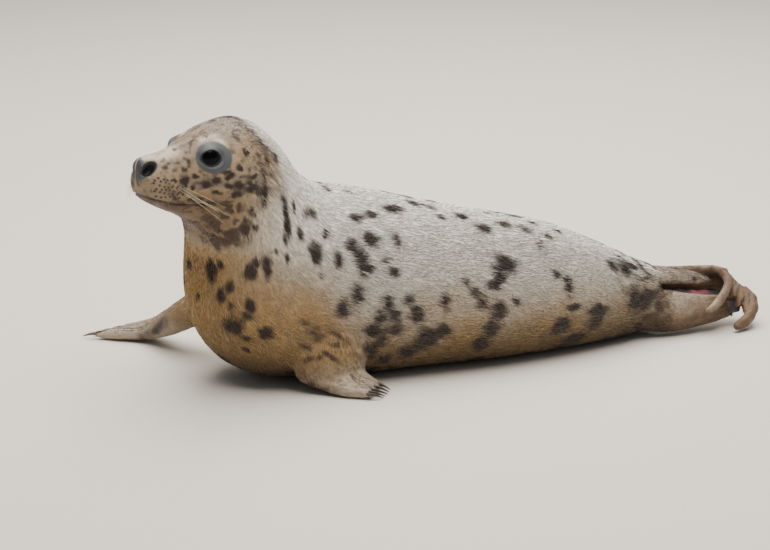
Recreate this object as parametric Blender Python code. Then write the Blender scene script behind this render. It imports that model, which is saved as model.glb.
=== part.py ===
"""A young grey seal, resting on its belly with its head raised, as a life-size still model.

Metres, +Z up, the floor at z = 0. The trunk lies along X with the head towards -X, and the animal's left side is
towards -Y. The side profile is drawn as if the animal lay straight, in distance behind the nose and height. The
plan curve then turns the neck and head towards the animal's left.
"""

import math

import bmesh
import bpy
import numpy as np
from mathutils import Matrix, Vector

# Driving dimensions
NOSE_TO_ORIGIN = 0.522  # along the back line, from the nose to the origin under the middle of the trunk
HEAD_TURN = math.radians(19)  # how far the head is turned to the animal's left
TURN_START, TURN_END = 0.150, 0.570  # the neck and chest between these distances behind the nose share the turn
NOSE_HEIGHT = 0.364
GAP = 0.0004  # clearance between two pieces that meet
REST_SOFTNESS = 0.010  # how gently the underside flattens where it lies on the floor
BODY_POINTS = 32  # points round one body section
HEAD_FULLNESS = 2.5  # 2 is an elliptical section, more is squarer
EYE_RADIUS = 0.0190
LID = 0.0022  # the lids' thickness over the eye
CLAW_POINTS = 6

# The body's side profile. Each station is a cut from the back line to the belly line:
# (name, back: distance and height, belly: distance and height, half width, how far the widest line sags,
#  cuts made up to the next station)
PROFILE = (
    ("nose_front", (0.0005, 0.3640), (0.0005, 0.342), 0.0080, 0.00, 1),
    ("nose_rim", (0.0050, 0.3730), (0.0030, 0.328), 0.0165, 0.20, 2),
    ("nose", (0.0135, 0.3765), (0.0105, 0.314), 0.0240, 0.42, 2),
    ("whisker_pads", (0.029, 0.3770), (0.026, 0.302), 0.0340, 0.36, 3),
    ("muzzle", (0.056, 0.379), (0.050, 0.289), 0.040, 0.26, 2),
    ("stop", (0.085, 0.388), (0.077, 0.276), 0.048, 0.14, 2),
    ("eyes", (0.114, 0.401), (0.100, 0.260), 0.058, 0.06, 4),
    ("cheeks", (0.148, 0.410), (0.115, 0.239), 0.070, 0.08, 3),
    ("crown", (0.184, 0.413), (0.122, 0.206), 0.079, 0.08, 3),
    ("nape", (0.219, 0.397), (0.121, 0.168), 0.089, 0.06, 3),
    ("neck", (0.252, 0.364), (0.116, 0.125), 0.101, 0.05, 3),
    ("withers", (0.281, 0.323), (0.132, 0.071), 0.115, 0.06, 3),
    ("shoulders", (0.320, 0.296), (0.190, 0.018), 0.131, 0.10, 3),
    ("chest", (0.392, 0.279), (0.318, -0.012), 0.146, 0.14, 3),
    ("ribs", (0.492, 0.250), (0.478, -0.014), 0.150, 0.16, 2),
    ("belly", (0.602, 0.221), (0.602, -0.014), 0.141, 0.16, 2),
    ("loins", (0.707, 0.195), (0.707, -0.012), 0.119, 0.13, 2),
    ("hips", (0.792, 0.158), (0.792, -0.008), 0.091, 0.10, 3),
    ("rump", (0.858, 0.124), (0.858, 0.000), 0.064, 0.05, 2),
    ("tail_root", (0.892, 0.110), (0.892, 0.012), 0.045, 0.00, 0),
)
HEAD_ENDS_AT, NECK_ENDS_AT = "crown", "withers"

# Swellings of the head: (distance behind the nose, half spacing, height above the nose, reach, rise)
HEAD_SWELLINGS = (
    (0.028, 0.030, -0.020, 0.015, 0.0030),  # whisker pad
    (0.098, 0.046, 0.030, 0.017, 0.0040),  # brow
    (0.108, 0.055, 0.006, 0.020, 0.0030),  # lids
    (0.150, 0.070, -0.030, 0.036, 0.0040),  # cheek
)
EYE_PLACE = (0.1080, 0.0345, 0.0040)  # behind the nose, off the middle, above the nose
EYE_OPENING = (0.0185, 0.0145, 0.0150)  # half length, half height and depth of the cut through the lids
EYE_ALONG, EYE_OUT = (-1.0, -0.40, 0.10), (-0.38, 0.90, 0.22)
LIDS_REACH = 0.033
NOSTRIL_PLACE = (0.0155, 0.0150, -0.0055)
NOSTRIL_RADII = (0.0150, 0.0088, 0.0105)
NOSTRIL_ALONG, NOSTRIL_OUT = (0.72, 0.20, 0.66), (-0.60, 0.60, 0.45)
# The mouth, as (distance behind the nose, height above the nose) from the front to the corner
MOUTH = ((0.000, -0.037), (0.012, -0.047), (0.048, -0.059), (0.079, -0.0625), (0.104, -0.061))
MOUTH_DEPTH, MOUTH_WIDTH = 0.0035, 0.0014

# A limb is a flattened tube that bends along rows of (digit I edge, middle, digit V edge, half thickness).
# Its digits are ridges that run on past the web between them. Its claws are given by (length, radius, how far they
# lean away from digit I, how far short of the digit's end they root, how far up the back of the digit they sit).
LIMB_ACROSS = (-1, -0.97, -0.86, -0.67, -0.45, -0.22, 0, 0.22, 0.45, 0.67, 0.86, 0.97, 1)
DIGITS_ACROSS = (0.86, 0.45, 0.0, -0.45, -0.86)  # digit I to digit V
WEB_NOTCH = 0.075  # how far the web stops short of the digits beside it, as a share of the limb

LIMBS = {
    "fore_flipper_left": {
        "rows": (
            ((-0.262, -0.078, 0.125), (-0.208, -0.085, 0.128), (-0.152, -0.088, 0.125), 0.030),
            ((-0.266, -0.110, 0.085), (-0.212, -0.128, 0.090), (-0.158, -0.122, 0.088), 0.030),
            ((-0.272, -0.128, 0.050), (-0.215, -0.150, 0.054), (-0.160, -0.134, 0.052), 0.027),
            ((-0.262, -0.138, 0.020), (-0.210, -0.160, 0.028), (-0.160, -0.136, 0.026), 0.021),
            ((-0.240, -0.164, 0.012), (-0.195, -0.172, 0.0175), (-0.154, -0.150, 0.015), 0.0145),
            ((-0.207, -0.196, 0.0095), (-0.175, -0.189, 0.011), (-0.146, -0.168, 0.010), 0.0105),
            ((-0.172, -0.216, 0.0065), (-0.152, -0.205, 0.0065), (-0.134, -0.188, 0.0065), 0.0062),
        ),
        "reach": (1.0, 0.98, 0.96, 0.93, 0.90),
        "ridge_from": 3.5,
        "back_of_hand": 1,
        "claw": (0.028, 0.0028, 0.30, 0.01, 0.50),
    },
    "fore_flipper_right": {
        "rows": (
            ((-0.285, 0.040, 0.100), (-0.255, 0.055, 0.120), (-0.225, 0.070, 0.135), 0.030),
            ((-0.335, 0.070, 0.072), (-0.305, 0.085, 0.095), (-0.270, 0.100, 0.110), 0.028),
            ((-0.368, 0.105, 0.050), (-0.345, 0.120, 0.070), (-0.310, 0.135, 0.082), 0.025),
            ((-0.388, 0.150, 0.026), (-0.370, 0.165, 0.040), (-0.340, 0.185, 0.048), 0.020),
            ((-0.405, 0.190, 0.012), (-0.388, 0.210, 0.020), (-0.362, 0.228, 0.022), 0.014),
            ((-0.440, 0.218, 0.0095), (-0.420, 0.238, 0.012), (-0.395, 0.256, 0.012), 0.0100),
            ((-0.478, 0.250, 0.0062), (-0.461, 0.262, 0.0062), (-0.440, 0.275, 0.0062), 0.0060),
        ),
        "reach": (1.0, 0.98, 0.96, 0.93, 0.90),
        "ridge_from": 3.5,
        "back_of_hand": -1,
        "claw": (0.028, 0.0028, 0.10, 0.01, 0.50),
    },
    "hind_flipper_right": {
        "rows": (
            ((0.325, 0.030, 0.035), (0.325, 0.036, 0.068), (0.325, 0.030, 0.098), 0.024),
            ((0.375, 0.034, 0.044), (0.375, 0.038, 0.068), (0.375, 0.034, 0.096), 0.019),
            ((0.420, 0.033, 0.046), (0.420, 0.036, 0.068), (0.420, 0.032, 0.091), 0.0135),
            ((0.462, 0.030, 0.045), (0.462, 0.032, 0.067), (0.462, 0.029, 0.090), 0.0105),
            ((0.501, 0.024, 0.046), (0.498, 0.026, 0.066), (0.493, 0.019, 0.0870), 0.0095),
            ((0.529, 0.008, 0.048), (0.515, 0.009, 0.062), (0.501, 0.001, 0.078), 0.0095),
            ((0.542, -0.018, 0.039), (0.518, -0.012, 0.051), (0.495, -0.024, 0.069), 0.0100),
            ((0.532, -0.044, 0.023), (0.511, -0.030, 0.037), (0.470, -0.052, 0.054), 0.0100),
            ((0.495, -0.066, 0.011), (0.496, -0.044, 0.024), (0.434, -0.075, 0.040), 0.0090),
        ),
        "reach": (0.78, 0.93, 0.93, 0.84, 0.68),
        "ridge_from": 2.5,
        "back_of_hand": -1,
        "claw": (0.011, 0.0016, 0.0, 0.10, 0.85),
        # Its two outer digits clasp the other flipper: points with half widths
        "long_digits": (
            (
                (0.494, 0.023, 0.047, 0.0040),
                (0.526, 0.008, 0.048, 0.0105),
                (0.539, -0.014, 0.041, 0.0115),
                (0.535, -0.034, 0.029, 0.0115),
                (0.519, -0.050, 0.0180, 0.0110),
                (0.502, -0.059, 0.0120, 0.0100),
                (0.490, -0.064, 0.0100, 0.0070),
            ),
            (
                (0.462, 0.029, 0.0820, 0.0040),
                (0.492, 0.016, 0.0835, 0.0090),
                (0.501, 0.000, 0.0770, 0.0090),
                (0.495, -0.024, 0.0690, 0.0090),
                (0.476, -0.046, 0.0575, 0.0090),
                (0.455, -0.063, 0.0475, 0.0090),
                (0.437, -0.073, 0.0405, 0.0065),
            ),
        ),
    },
    "hind_flipper_left": {
        "rows": (
            ((0.325, -0.030, 0.012), (0.325, -0.034, 0.052), (0.325, -0.030, 0.092), 0.026),
            ((0.375, -0.034, 0.005), (0.375, -0.038, 0.041), (0.375, -0.034, 0.076), 0.024),
            ((0.415, -0.034, 0.006), (0.415, -0.037, 0.036), (0.415, -0.034, 0.066), 0.020),
            ((0.450, -0.030, 0.009), (0.450, -0.033, 0.034), (0.450, -0.030, 0.059), 0.014),
            ((0.480, -0.024, 0.012), (0.480, -0.026, 0.033), (0.478, -0.024, 0.054), 0.0090),
            ((0.502, -0.016, 0.014), (0.497, -0.018, 0.032), (0.494, -0.016, 0.050), 0.0065),
            ((0.514, -0.006, 0.017), (0.505, -0.008, 0.031), (0.503, -0.006, 0.045), 0.0050),
        ),
        "reach": (0.98, 0.95, 0.93, 0.91, 0.88),
        "ridge_from": 2.5,
        "back_of_hand": 1,
        "claw": (0.011, 0.0016, 0.0, 0.14, 0.85),
    },
}
LIMB_CUTS = 12
TAIL = (
    ((0.345, -0.006, 0.092), (0.345, -0.030, 0.086), (0.345, 0.018, 0.098), 0.015),
    ((0.400, -0.007, 0.088), (0.400, -0.028, 0.081), (0.400, 0.014, 0.095), 0.011),
    ((0.440, -0.007, 0.081), (0.440, -0.024, 0.076), (0.440, 0.010, 0.087), 0.0085),
    ((0.462, -0.007, 0.077), (0.462, -0.018, 0.0735), (0.462, 0.004, 0.0805), 0.0055),
)
TAIL_TIP = (0.471, -0.007, 0.0755)
TAIL_POINTS = 12

MATERIALS = {
    "coat": ((0.62, 0.56, 0.47, 1), 0.75),
    "flipper_skin": ((0.34, 0.28, 0.22, 1), 0.60),
    "eye": ((0.012, 0.012, 0.016, 1), 0.05),
    "claw": ((0.045, 0.040, 0.038, 1), 0.35),
}


def through(rows, places):
    """Rows of numbers read at fractional row numbers, on a smooth curve through them all."""
    rows = np.asarray(rows, float)
    rows = np.vstack([2 * rows[0] - rows[1], rows, 2 * rows[-1] - rows[-2]])
    places = np.atleast_1d(places)
    first = np.clip(places.astype(int), 0, len(rows) - 4)
    t = (places - first)[:, None]
    a, b, c, d = (rows[first + k] for k in range(4))
    return 0.5 * (2 * b + (c - a) * t + (2 * a - 5 * b + 4 * c - d) * t**2 + (3 * b - a - 3 * c + d) * t**3)


def ease(low, high, value):
    t = np.clip((value - low) / (high - low), 0, 1)
    return t * t * (3 - 2 * t)


def turn(distance):
    """The heading at a distance behind the nose, to the animal's left of the trunk's."""
    return HEAD_TURN * (1 - ease(TURN_START, TURN_END, distance))


def plan(distance):
    """Where the middle plane lies, as (x, y), at each distance behind the nose."""
    steps = np.linspace(-0.1, 1.1, 1201)
    across = np.gradient(steps)
    x = np.cumsum(np.cos(turn(steps)) * across)
    y = np.cumsum(np.sin(turn(steps)) * across)
    x -= np.interp(NOSE_TO_ORIGIN, steps, x)
    y -= y[-1]
    return np.interp(distance, steps, x), np.interp(distance, steps, y)


def rest_on_floor(height):
    """Heights with the underside pressed flat at z = 0, through a soft edge."""
    soft = (height + REST_SOFTNESS) ** 2 / (4 * REST_SOFTNESS)
    return np.where(height <= -REST_SOFTNESS, 0, np.where(height >= REST_SOFTNESS, height, soft))


def head_point(behind, aside, above):
    """A point of the head's own frame in the row frame; aside is positive to the animal's left."""
    x, y = plan(0.0)
    back = Vector((math.cos(HEAD_TURN), math.sin(HEAD_TURN), 0))
    left = Vector((math.sin(HEAD_TURN), -math.cos(HEAD_TURN), 0))
    return Vector((x, y, NOSE_HEIGHT)) + behind * back + aside * left + above * Vector((0, 0, 1))


def body_rings(spread=0.0):
    """The body's sections as an array of rings, with the number of the ring at each station.
    spread makes every section that much larger all round, for a cutter that leaves a gap."""
    places, at = [], {}
    for number, station in enumerate(PROFILE):
        at[station[0]] = len(places)
        places += [number + k / station[-1] for k in range(station[-1])]
    places.append(len(PROFILE) - 1)
    table = [(*back, *belly, width, sag) for _, back, belly, width, sag, _ in PROFILE]
    angle = np.arange(BODY_POINTS) * 2 * math.pi / BODY_POINTS
    rings = []
    for back_s, back_z, belly_s, belly_z, width, sag in through(table, places):
        middle = np.array([(back_s + belly_s) / 2, (back_z + belly_z) / 2])
        rise = np.array([back_s, back_z]) - middle
        rise *= 1 + spread / np.linalg.norm(rise)
        power = 2 / (HEAD_FULLNESS + (2 - HEAD_FULLNESS) * ease(0.09, 0.20, middle[0]))
        up, aside = (np.sign(wave) * np.abs(wave) ** power for wave in (np.cos(angle), np.sin(angle)))
        out = (width + spread) * aside * (1 - sag * up)
        x, y = plan(middle[0] + rise[0] * up)
        heading = turn(middle[0])
        height = middle[1] + rise[1] * up
        rings.append(np.stack([x + out * math.sin(heading), y - out * math.cos(heading), height], axis=1))
    rings = np.array(rings)
    for behind, half, above, reach, raised in HEAD_SWELLINGS:
        for side in (1, -1):
            centre = np.array(head_point(behind, side * half, above))
            away = np.exp(-((rings - centre) ** 2).sum(2) / reach**2)[..., None]
            outward = rings - rings.mean(1, keepdims=True)
            outward /= np.linalg.norm(outward, axis=2, keepdims=True)
            rings += raised * away * outward
    floor = rest_on_floor(rings[..., 2])
    rings[..., 2] = floor - spread * (floor < spread)
    return rings, at


def new_object(name, mesh, material, collection):
    obj = bpy.data.objects.new(name, mesh)
    collection.objects.link(obj)
    if material:
        mesh.materials.append(material)
    for polygon in mesh.polygons:
        polygon.use_smooth = True
    return obj


def close(bm, row, end):
    """Closes the end of a tube: to a point, or "flat" to its middle, or "strip" across a flattened loop."""
    count = len(row)
    if isinstance(end, str) and end == "strip":
        half = count // 2
        bm.faces.new((row[0], row[1], row[-1]))
        for k in range(1, half - 1):
            bm.faces.new((row[k], row[k + 1], row[-k - 1], row[-k]))
        bm.faces.new((row[half - 1], row[half], row[half + 1]))
        return
    if isinstance(end, str):
        end = sum((vert.co for vert in row), Vector()) / count
    tip = bm.verts.new(end)
    for k in range(count):
        bm.faces.new((row[k], row[(k + 1) % count], tip))


def loft(name, rings, first_end, last_end):
    """A closed mesh through the rings."""
    bm = bmesh.new()
    rows = [[bm.verts.new(point) for point in ring] for ring in rings]
    count = len(rows[0])
    for row, after in zip(rows, rows[1:]):
        for k in range(count):
            bm.faces.new((row[k], row[(k + 1) % count], after[(k + 1) % count], after[k]))
    close(bm, rows[0], first_end)
    close(bm, rows[-1], last_end)
    bmesh.ops.recalc_face_normals(bm, faces=bm.faces)
    mesh = bpy.data.meshes.new(name)
    bm.to_mesh(mesh)
    bm.free()
    return mesh


def stepped_back(ring, inward):
    """A ring moved by half the gap, square to itself, to the side the inward direction points."""
    square = np.cross(ring[len(ring) // 4] - ring[0], ring[len(ring) // 2] - ring[0])
    square /= np.linalg.norm(square)
    return ring + GAP / 2 * square * np.sign(square @ inward)


def cut(obj, cutters):
    """Takes a cutter, or every cutter of a collection, out of an object."""
    modifier = obj.modifiers.new("cut", "BOOLEAN")
    modifier.operation = "DIFFERENCE"
    modifier.solver = "EXACT"
    if isinstance(cutters, bpy.types.Collection):
        modifier.operand_type = "COLLECTION"
        modifier.collection = cutters
    else:
        modifier.object = cutters


def helper(obj):
    obj.hide_render = True
    obj.display_type = "WIRE"
    return obj


def make_body(parts, helpers, materials):
    """Head, neck and trunk, parted by thin cuts, and the cutter that the limbs are trimmed with."""
    rings, at = body_rings()
    back = rings.mean(1)
    nose = head_point(0.001, 0.0, -0.011)
    rump = Vector(rings[-1].mean(0)) + Vector((0.012, 0, 0.004))
    head_end, neck_end = at[HEAD_ENDS_AT], at[NECK_ENDS_AT]
    spans = (
        ("head", 0, head_end, nose, "flat"),
        ("neck", head_end, neck_end, "flat", "flat"),
        ("trunk", neck_end, len(rings) - 1, "flat", rump),
    )
    made = {}
    for name, first, last, front, rear in spans:
        piece = rings[first : last + 1].copy()
        if isinstance(front, str):
            piece[0] = stepped_back(piece[0], back[first + 1] - back[first])
        if isinstance(rear, str):
            piece[-1] = stepped_back(piece[-1], back[last - 1] - back[last])
        made[name] = new_object(name, loft(name, piece, front, rear), materials["coat"], parts)
    raise_lids(made["head"].data)
    grown, _ = body_rings(GAP)
    mesh = loft("body_room", grown, nose - Vector((GAP, 0, 0)), rump + Vector((GAP, 0, 0)))
    return made, helper(new_object("body_room", mesh, None, helpers))


def raise_lids(mesh):
    """Divides the head's mesh more finely round each eye, and lifts it over the eyeball by the lids' thickness."""
    bm = bmesh.new()
    bm.from_mesh(mesh)
    for side in (1, -1):
        centre = head_point(EYE_PLACE[0], side * EYE_PLACE[1], EYE_PLACE[2])
        near = [e for e in bm.edges if all((vert.co - centre).length < LIDS_REACH for vert in e.verts)]
        bmesh.ops.subdivide_edges(bm, edges=near, cuts=1, use_grid_fill=True)
        for vert in bm.verts:
            arm = vert.co - centre
            least = EYE_RADIUS + LID
            over = least + 2 * LID - arm.length
            if over > 0:
                reach = arm.length + over**2 / (8 * LID) if over < 4 * LID else least
                vert.co = centre + arm.normalized() * reach
    bm.to_mesh(mesh)
    bm.free()


def ball(name, centre, radii, turned, material, collection, rows=8, columns=14):
    """An ellipsoid, from a UV sphere."""
    bm = bmesh.new()
    bmesh.ops.create_uvsphere(bm, u_segments=columns, v_segments=rows, radius=1)
    place = Matrix.Translation(centre) @ turned @ Matrix.Diagonal((*radii, 1))
    bmesh.ops.transform(bm, matrix=place, verts=bm.verts)
    mesh = bpy.data.meshes.new(name)
    bm.to_mesh(mesh)
    bm.free()
    return new_object(name, mesh, material, collection)


def head_axes(along, out, side):
    """A turn whose X lies along and whose Z points out, both given in the head's own frame for the left side."""
    start = head_point(0, 0, 0)
    along, out = (head_point(line[0], side * line[1], line[2]) - start for line in (along, out))
    z = out.normalized()
    x = (along - along.dot(z) * z).normalized()
    return Matrix((x, z.cross(x), z)).transposed().to_4x4()


def mouth_mesh(rings):
    """A thin strip let into the head's surface, from one corner of the mouth round the front to the other."""
    behind = np.array([ring[0, 0] for ring in rings]) - head_point(0, 0, 0).x
    path = []
    for side in (1, -1):
        line = []
        for ring, distance in zip(rings, behind / math.cos(HEAD_TURN)):
            if distance > MOUTH[-1][0]:
                break
            height = NOSE_HEIGHT + np.interp(distance, *zip(*MOUTH))
            half = ring[: len(ring) // 2 + 1] if side == 1 else np.roll(ring[::-1], 1, 0)[: len(ring) // 2 + 1]
            point = [np.interp(-height, -half[:, 2], half[:, axis]) for axis in range(3)]
            if half[-1, 2] < height - 0.001:
                line.append((np.array(point), ring.mean(0)))
        path = line[::-1] + path if side == 1 else path + line
    under, height = rings[: len(behind) // 3, len(rings[0]) // 2], NOSE_HEIGHT + MOUTH[0][1]
    front = np.array([np.interp(-height, -under[:, 2], under[:, axis]) for axis in range(3)])
    path.insert(len(path) // 2, (front, front + np.array([1, 0, 0])))
    loops = []
    for number, (point, middle) in enumerate(path):
        out = point - middle
        out[2] = 0
        out /= np.linalg.norm(out)
        deep = MOUTH_DEPTH * math.sin(math.pi * (number + 1) / (len(path) + 1)) ** 0.3
        up = np.array([0, 0, MOUTH_WIDTH / 2])
        loops.append([point - deep * out - up, point + 0.006 * out - up, point + 0.006 * out + up, point - deep * out + up])
    return loft("mouth_cut", np.array(loops), "flat", "flat")


def make_face(head, parts, helpers, materials):
    """The eyes, and the cuts for the lids, nostrils and mouth."""
    cutters = bpy.data.collections.new("head_cutters")
    helpers.children.link(cutters)
    for side, name in ((1, "left"), (-1, "right")):
        centre = head_point(EYE_PLACE[0], side * EYE_PLACE[1], EYE_PLACE[2])
        gaze = head_axes(EYE_ALONG, EYE_OUT, side)
        ball(f"eye_{name}", centre, (EYE_RADIUS,) * 3, gaze, materials["eye"], parts)
        socket = (EYE_RADIUS + GAP,) * 3
        helper(ball(f"socket_{name}", centre, socket, gaze, None, cutters))
        front = centre + gaze.to_3x3() @ Vector((0, 0, EYE_RADIUS))
        helper(ball(f"lids_{name}", front, EYE_OPENING, gaze, None, cutters, 6, 16))
        pit = head_point(NOSTRIL_PLACE[0], side * NOSTRIL_PLACE[1], NOSTRIL_PLACE[2])
        turned = head_axes(NOSTRIL_ALONG, NOSTRIL_OUT, side)
        helper(ball(f"nostril_{name}", pit, NOSTRIL_RADII, turned, None, cutters, 6, 10))
    rings, _ = body_rings()
    helper(new_object("mouth_cut", mouth_mesh(rings), None, cutters))
    cut(head, cutters)


def limb_sheet(rows, across, places):
    """Points of the limb's middle sheet, and its half thickness, at places along and across it."""
    table = np.array([(*first, *middle, *fifth, thick) for first, middle, fifth, thick in rows])
    read = through(table, places)
    first, middle, fifth = read[:, 0:3], read[:, 3:6], read[:, 6:9]
    a = np.atleast_1d(across)[:, None]
    points = middle * (1 - a * a) + first * (a * a + a) / 2 + fifth * (a * a - a) / 2
    return points, read[:, 9]


def limb_frame(rows, across, places):
    """Points of the sheet with the directions along it, across it and through it, and its half thickness."""
    step, top = 0.03, len(rows) - 1
    points, thick = limb_sheet(rows, across, places)
    ahead, _ = limb_sheet(rows, across, np.minimum(places + step, top))
    behind, _ = limb_sheet(rows, across, np.maximum(places - step, 0))
    inner, _ = limb_sheet(rows, np.clip(across - step, -1, 1), places)
    outer, _ = limb_sheet(rows, np.clip(across + step, -1, 1), places)
    along, aside = ahead - behind, outer - inner
    along /= np.linalg.norm(along, axis=1, keepdims=True)
    aside -= (aside * along).sum(1, keepdims=True) * along
    aside /= np.linalg.norm(aside, axis=1, keepdims=True)
    return points, along, aside, np.cross(aside, along), thick


def reach_at(across, reach):
    """How far along the limb its end stands at a place across: full at a digit, less on the web."""
    order = np.argsort(DIGITS_ACROSS)
    line = np.interp(across, np.array(DIGITS_ACROSS)[order], np.array(reach)[order])
    return line - WEB_NOTCH * (1 - digit_share(across)) * (np.abs(across) < max(DIGITS_ACROSS))


def digit_share(across):
    """1 on the ridge of a digit, 0 midway between two."""
    nearest = np.abs(across - np.array(DIGITS_ACROSS)[:, None]).min(0)
    return np.clip(1 - (nearest / 0.22) ** 2, 0, 1)


def limb_rings(limb, spread=0.0):
    """The sections of a limb, each a loop over its one face and back along the other."""
    rows, top = limb["rows"], len(limb["rows"]) - 1
    across = np.array(LIMB_ACROSS, float)
    reach, ridge = reach_at(across, limb["reach"]), digit_share(across)
    rings = []
    for number in range(LIMB_CUTS + 1):
        share = number / LIMB_CUTS
        places = share * reach * top
        points, _, aside, through_it, thick = limb_frame(rows, across, places)
        hand = ease(limb["ridge_from"], limb["ridge_from"] + 1.5, places)
        arm_half = np.sqrt(np.clip(1 - across**2, 0, 1))
        hand_half = (1 - across**12) * (0.60 + 0.40 * ridge)
        half = thick * ((1 - hand) * arm_half + hand * hand_half) * (1 - 0.4 * ease(0.92, 1.0, share))
        points += (across**9 * spread)[:, None] * aside
        upper = points + (half + spread)[:, None] * through_it
        under = points - (half + spread)[:, None] * through_it
        upper[[0, -1]] = points[[0, -1]]
        rings.append(np.vstack([upper, under[-2:0:-1]]))
    rings = np.array(rings)
    rings[..., 2] = np.maximum(rings[..., 2], -spread)
    return rings


def claw_mesh(name, root, ahead, aside, down, length, radius):
    """A slender claw that bends down towards its tip, with its root inside the digit."""
    turns = [2 * math.pi * k / CLAW_POINTS for k in range(CLAW_POINTS)]
    rings = []
    for share in (0.0, 0.5, 0.95):
        centre = root + ahead * length * (share - 0.38) + down * length * 0.22 * share**2
        wide = radius[0] * (1 - 0.85 * share**1.6) + radius[1]
        rings.append([list(centre + wide * (math.cos(a) * aside + 1.25 * math.sin(a) * down)) for a in turns])
    rings = np.array(rings)
    rings[..., 2] = np.maximum(rings[..., 2], 0.0002 - radius[1])
    return loft(name, rings, "flat", "flat")


def digit_mesh(name, points, spread=0.0):
    """One round-ended digit along a smooth line of (x, y, z, half width)."""
    turns = np.arange(8) * 2 * math.pi / 8
    places = np.linspace(0, len(points) - 1, 9)
    lines = through(points, places)
    ahead = through(points, np.minimum(places + 0.03, places[-1])) - through(points, np.maximum(places - 0.03, 0))
    rings = []
    for (*centre, half), direction in zip(lines, ahead[:, :3]):
        side = np.cross(direction, (0, 0, 1))
        side /= np.linalg.norm(side)
        up = np.cross(side, direction) / np.linalg.norm(direction)
        wide, high = half + spread, 0.85 * half + spread
        rings.append(np.array(centre) + wide * np.outer(np.cos(turns), up) + high * np.outer(np.sin(turns), side))
    tip = Vector(rings[-1].mean(0) + ahead[-1, :3] / np.linalg.norm(ahead[-1, :3]) * (0.004 + spread))
    return loft(name, rings, "flat", tip)


def join(obj, other):
    modifier = obj.modifiers.new("join", "BOOLEAN")
    modifier.operation = "UNION"
    modifier.solver = "EXACT"
    modifier.object = other


def flipper_meshes(name, limb, spread=0.0):
    """A flipper's body, and its long digits where it has them."""
    digits = [digit_mesh(f"{name}_digit", points, spread) for points in limb.get("long_digits", ())]
    return [loft(name, limb_rings(limb, spread), "strip", "strip"), *digits]


def make_limb(name, limb, rooms, parts, helpers, materials):
    """A flipper trimmed to what it meets, with its five claws let into its digits."""
    body, *digits = flipper_meshes(name, limb)
    flipper = new_object(name, body, materials["flipper_skin"], parts)
    for mesh in digits:
        join(flipper, helper(new_object(mesh.name, mesh, None, helpers)))
    cutters = bpy.data.collections.new(f"{name}_cutters")
    helpers.children.link(cutters)
    for room in rooms:
        cutters.objects.link(room)
    length, radius, lean, short, lift = limb["claw"]
    ends = (np.array(limb["reach"]) - short) * (len(limb["rows"]) - 1)
    frames = limb_frame(limb["rows"], np.array(DIGITS_ACROSS), ends)
    for number, (point, along, aside, through_it, thick) in enumerate(zip(*frames)):
        up = Vector(through_it) * limb["back_of_hand"]
        ahead = (Vector(along) - lean * Vector(aside)).normalized()
        place = (Vector(point) + up * lift * thick, ahead, ahead.cross(up), -up, length)
        claw = claw_mesh(f"{name}_claw_{number + 1}", *place, (radius, 0.0))
        new_object(claw.name, claw, materials["claw"], parts)
        room = claw_mesh(f"{name}_claw_room_{number + 1}", *place, (radius, GAP))
        helper(new_object(room.name, room, None, cutters))
    cut(flipper, cutters)


def tail_rings(spread=0.0):
    turns = np.arange(TAIL_POINTS) * 2 * math.pi / TAIL_POINTS
    rings = []
    for place in np.linspace(0, len(TAIL) - 1, 8):
        rows = [(left, middle, right, thick) for middle, left, right, thick in TAIL]
        points, _, aside, through_it, thick = (part[0] for part in limb_frame(rows, np.zeros(1), np.array([place])))
        edge, _ = limb_sheet(rows, np.ones(1), np.array([place]))
        wide, deep = np.linalg.norm(edge[0] - points) + spread, thick + spread
        round_it = np.outer(wide * np.cos(turns), aside) + np.outer(deep * np.sin(turns), through_it)
        rings.append(points + round_it)
    return rings


def make_tail(room, parts, helpers, materials):
    """The tail, and the room that the hind flippers leave for it."""
    tip = Vector(TAIL_TIP)
    tail = new_object("tail", loft("tail", tail_rings(), "flat", tip), materials["coat"], parts)
    cut(tail, room)
    mesh = loft("tail_room", tail_rings(GAP), "flat", tip + Vector((GAP, 0, 0)))
    return helper(new_object("tail_room", mesh, None, helpers))


def make_materials():
    made = {}
    for name, (colour, roughness) in MATERIALS.items():
        material = bpy.data.materials.new(name)
        material.use_nodes = True
        shader = material.node_tree.nodes["Principled BSDF"]
        shader.inputs["Base Color"].default_value = colour
        shader.inputs["Roughness"].default_value = roughness
        shader.inputs["Metallic"].default_value = 0.0
        made[name] = material
    return made


def main():
    for obj in list(bpy.data.objects):
        bpy.data.objects.remove(obj)
    parts = bpy.data.collections.new("grey_seal")
    helpers = bpy.data.collections.new("cutters")
    for collection in (parts, helpers):
        bpy.context.scene.collection.children.link(collection)
    materials = make_materials()
    body, body_room = make_body(parts, helpers, materials)
    make_face(body["head"], parts, helpers, materials)
    tail_room = make_tail(body_room, parts, helpers, materials)
    rooms = [body_room, tail_room]
    for name, limb in LIMBS.items():
        make_limb(name, limb, rooms, parts, helpers, materials)
        if "long_digits" in limb:
            for mesh in flipper_meshes("clasp_room", limb, GAP):
                rooms.append(helper(new_object(mesh.name, mesh, None, helpers)))


if __name__ == "__main__":
    main()
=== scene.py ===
import contextlib
import math

import bmesh
import bpy
import numpy as np
from bpy.props import FloatProperty, FloatVectorProperty, IntProperty, PointerProperty
from mathutils import Matrix, Vector
from mathutils.bvhtree import BVHTree


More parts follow.
